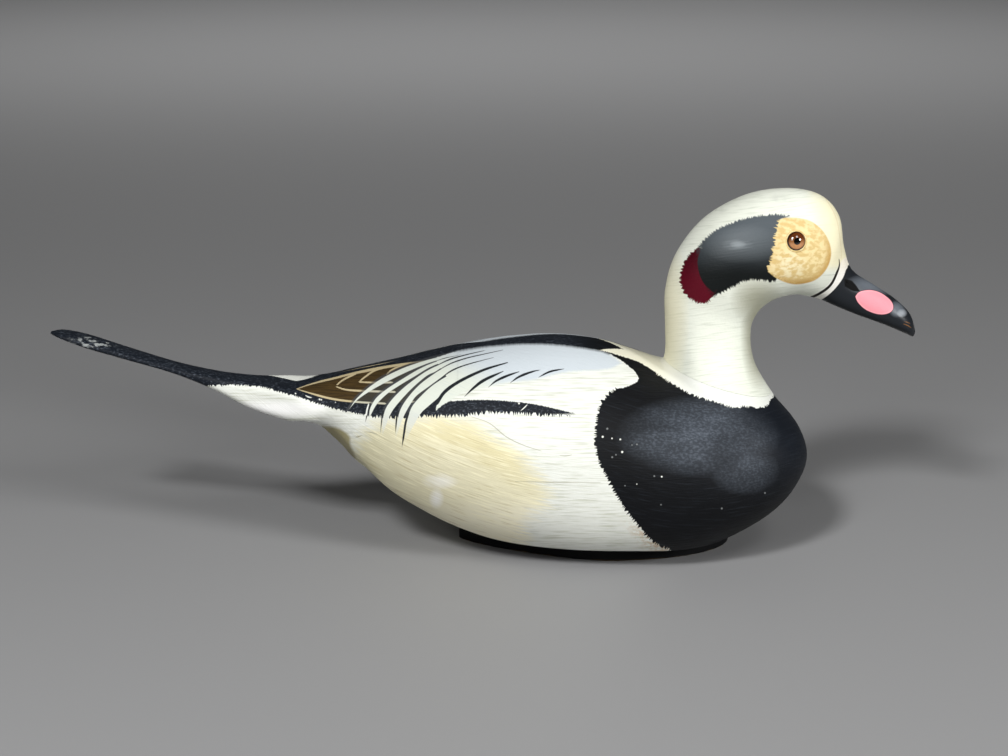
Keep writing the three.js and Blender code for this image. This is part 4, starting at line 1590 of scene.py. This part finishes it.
def head_colours(brush):
    clouds = brush.noise(45, 3)
    speckle = brush.noise(700, 2)
    lines = brush.combed(brush.across, brush.down + brush.across * 0.12, *HEAD_MARKS)
    colour = cheek_paint(brush, head_white(brush, lines), lines, clouds, speckle)
    face = brush.edge(brush.toothed("face", pitch=3.4, seed=17.0), 1.0)
    colour = brush.mix(face, colour, face_paint(brush))
    colour = brush.mix(brush.strokes("brow", BROW_LINES) * 0.2, colour, OCHRE)
    bill, oval = brush.inside("bill"), brush.inside("oval")
    on_bill, on_oval = brush.edge(bill), brush.edge(oval + 0.5)
    colour = brush.mix(brush.step(bill, -9, -7) * 0.5, colour, BILL_SEAM)
    colour = bill_paint(brush, colour, on_bill, oval, on_oval)
    colour = brush.mix(brush.strokes("scratch", BILL_SCRATCHES) * 0.8, colour, BARE_WOOD)
    colour = brush.mix(brush.strokes("line", HEAD_STROKES), colour, INK_LINE)
    nostril = brush.edge(brush.inside("nostril") + 0.5, 0.8)
    colour = brush.mix(nostril, colour, NOSTRIL_BLACK)
    roughness = 0.5 - on_bill * (1 - on_oval) * 0.14 + nostril * 0.4 + (clouds - 0.5) * 0.08
    height = (lines * 0.6 + speckle * 0.4) * (1 - on_bill * 0.8)
    brush.finish(colour, roughness, height, HEAD_RELIEF)


head_colours(FeatherBrush(PAINTS["head_paint"]))

# %% [markdown]
# The glass is amber, with a painted shade at the top and painted light at the bottom for the light
# that falls through it, darker round the rim, and with a black pupil that looks a little forward and
# up, square to the cheek. The glass itself is clear and hard, so a full coat carries the reflections
# of the soft boxes. The putty lids take the buff of the face, and the keel is matt black, a black that
# also stands for the shadow under the body, with its lower edges rubbed down to the wood.

# %% Glass, putty and keel
AMBER_SHADED_ABOVE = tint("5A2C10")
AMBER_LIT_BELOW = tint("C98C58")
AMBER_RIM = tint("2A1208")
PUPIL_BLACK = tint("050403")
RUBBED_WOOD = tint("7A6547")
PUPIL_RADIUS = 2.0
PUPIL_FORWARD = 0.8
PUPIL_UP = 1.1
RIM_DARKENS = (4.2, 5.2)
RUBBED_HEIGHT = 2.5
LID_RELIEF = 0.1 * MM
KEEL_RELIEF = 0.2 * MM
GLASS = {"Roughness": 0.12, "Coat Weight": 1.0, "Coat Roughness": 0.03, "IOR": 1.52}


def amber_glass(brush):
    x, _, z = brush.scaled(brush.here, 1 / MM).parts()
    from_x, from_z = x - (EYE_X + PUPIL_FORWARD), z - (EYE_Z + PUPIL_UP)
    radius = (from_x ** 2 + from_z ** 2) ** 0.5
    # Painted light: the amber is dark at the top and light at the bottom.
    amber = brush.mix(brush.step(from_z, 2.5, -3.5), AMBER_SHADED_ABOVE, AMBER_LIT_BELOW)
    colour = brush.mix(brush.step(radius, *RIM_DARKENS), amber, AMBER_RIM)
    colour = brush.mix(brush.edge(PUPIL_RADIUS - radius, 0.2), colour, PUPIL_BLACK)
    brush.tree.links.new(colour.socket, brush.shader.inputs["Base Color"])
    for name, value in GLASS.items():
        brush.shader.inputs[name].default_value = value


def lid_paint(brush):
    mottle = brush.noise(500, 2)
    colour = brush.mix(brush.step(mottle, 0.4, 0.65), BUFF, LIGHT_BUFF)
    brush.finish(colour, 0.5 + mottle * 0.1, mottle, LID_RELIEF)


def keel_black(brush):
    _, _, z = brush.scaled(brush.here, 1 / MM).parts()
    grain = brush.noise(200, 4, (0.08, 1, 1))
    rubbed = brush.step(z + grain * 3, RUBBED_HEIGHT, 1.0)
    # The keel's black also stands for the deep shadow under the body; only its rubbed lower edges are wear.
    colour = brush.mix(rubbed * 0.7, DEEP_BLACK, RUBBED_WOOD)
    brush.finish(colour, 0.65 + grain * 0.1, grain, KEEL_RELIEF)


amber_glass(Brush(PAINTS["eye_glass"]))
lid_paint(Brush(PAINTS["putty"]))
keel_black(Brush(PAINTS["keel_paint"]))

# %% [markdown]
# Every fine piece takes the place of its solid and rides the one body that a decoy is. The lids
# have no solid of their own: they are putty on the head.

# %% Place every piece on the frame
DRESSED = [
    (body, "body", "painted_body"),
    (tail, "tail", "painted_tail"),
    (head, "head_and_neck", "painted_head"),
    (keel, "keel", "painted_keel"),
    (eye_right, "eye_right", "eye_glass"),
    (eye_left, "eye_left", "eye_glass"),
]
for piece, node, slot_name in DRESSED:
    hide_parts(node)
    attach(piece, "root")
for piece in (lid_right, lid_left):
    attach(piece, "root")
print(len(DRESSED) + 2, "pieces in place")
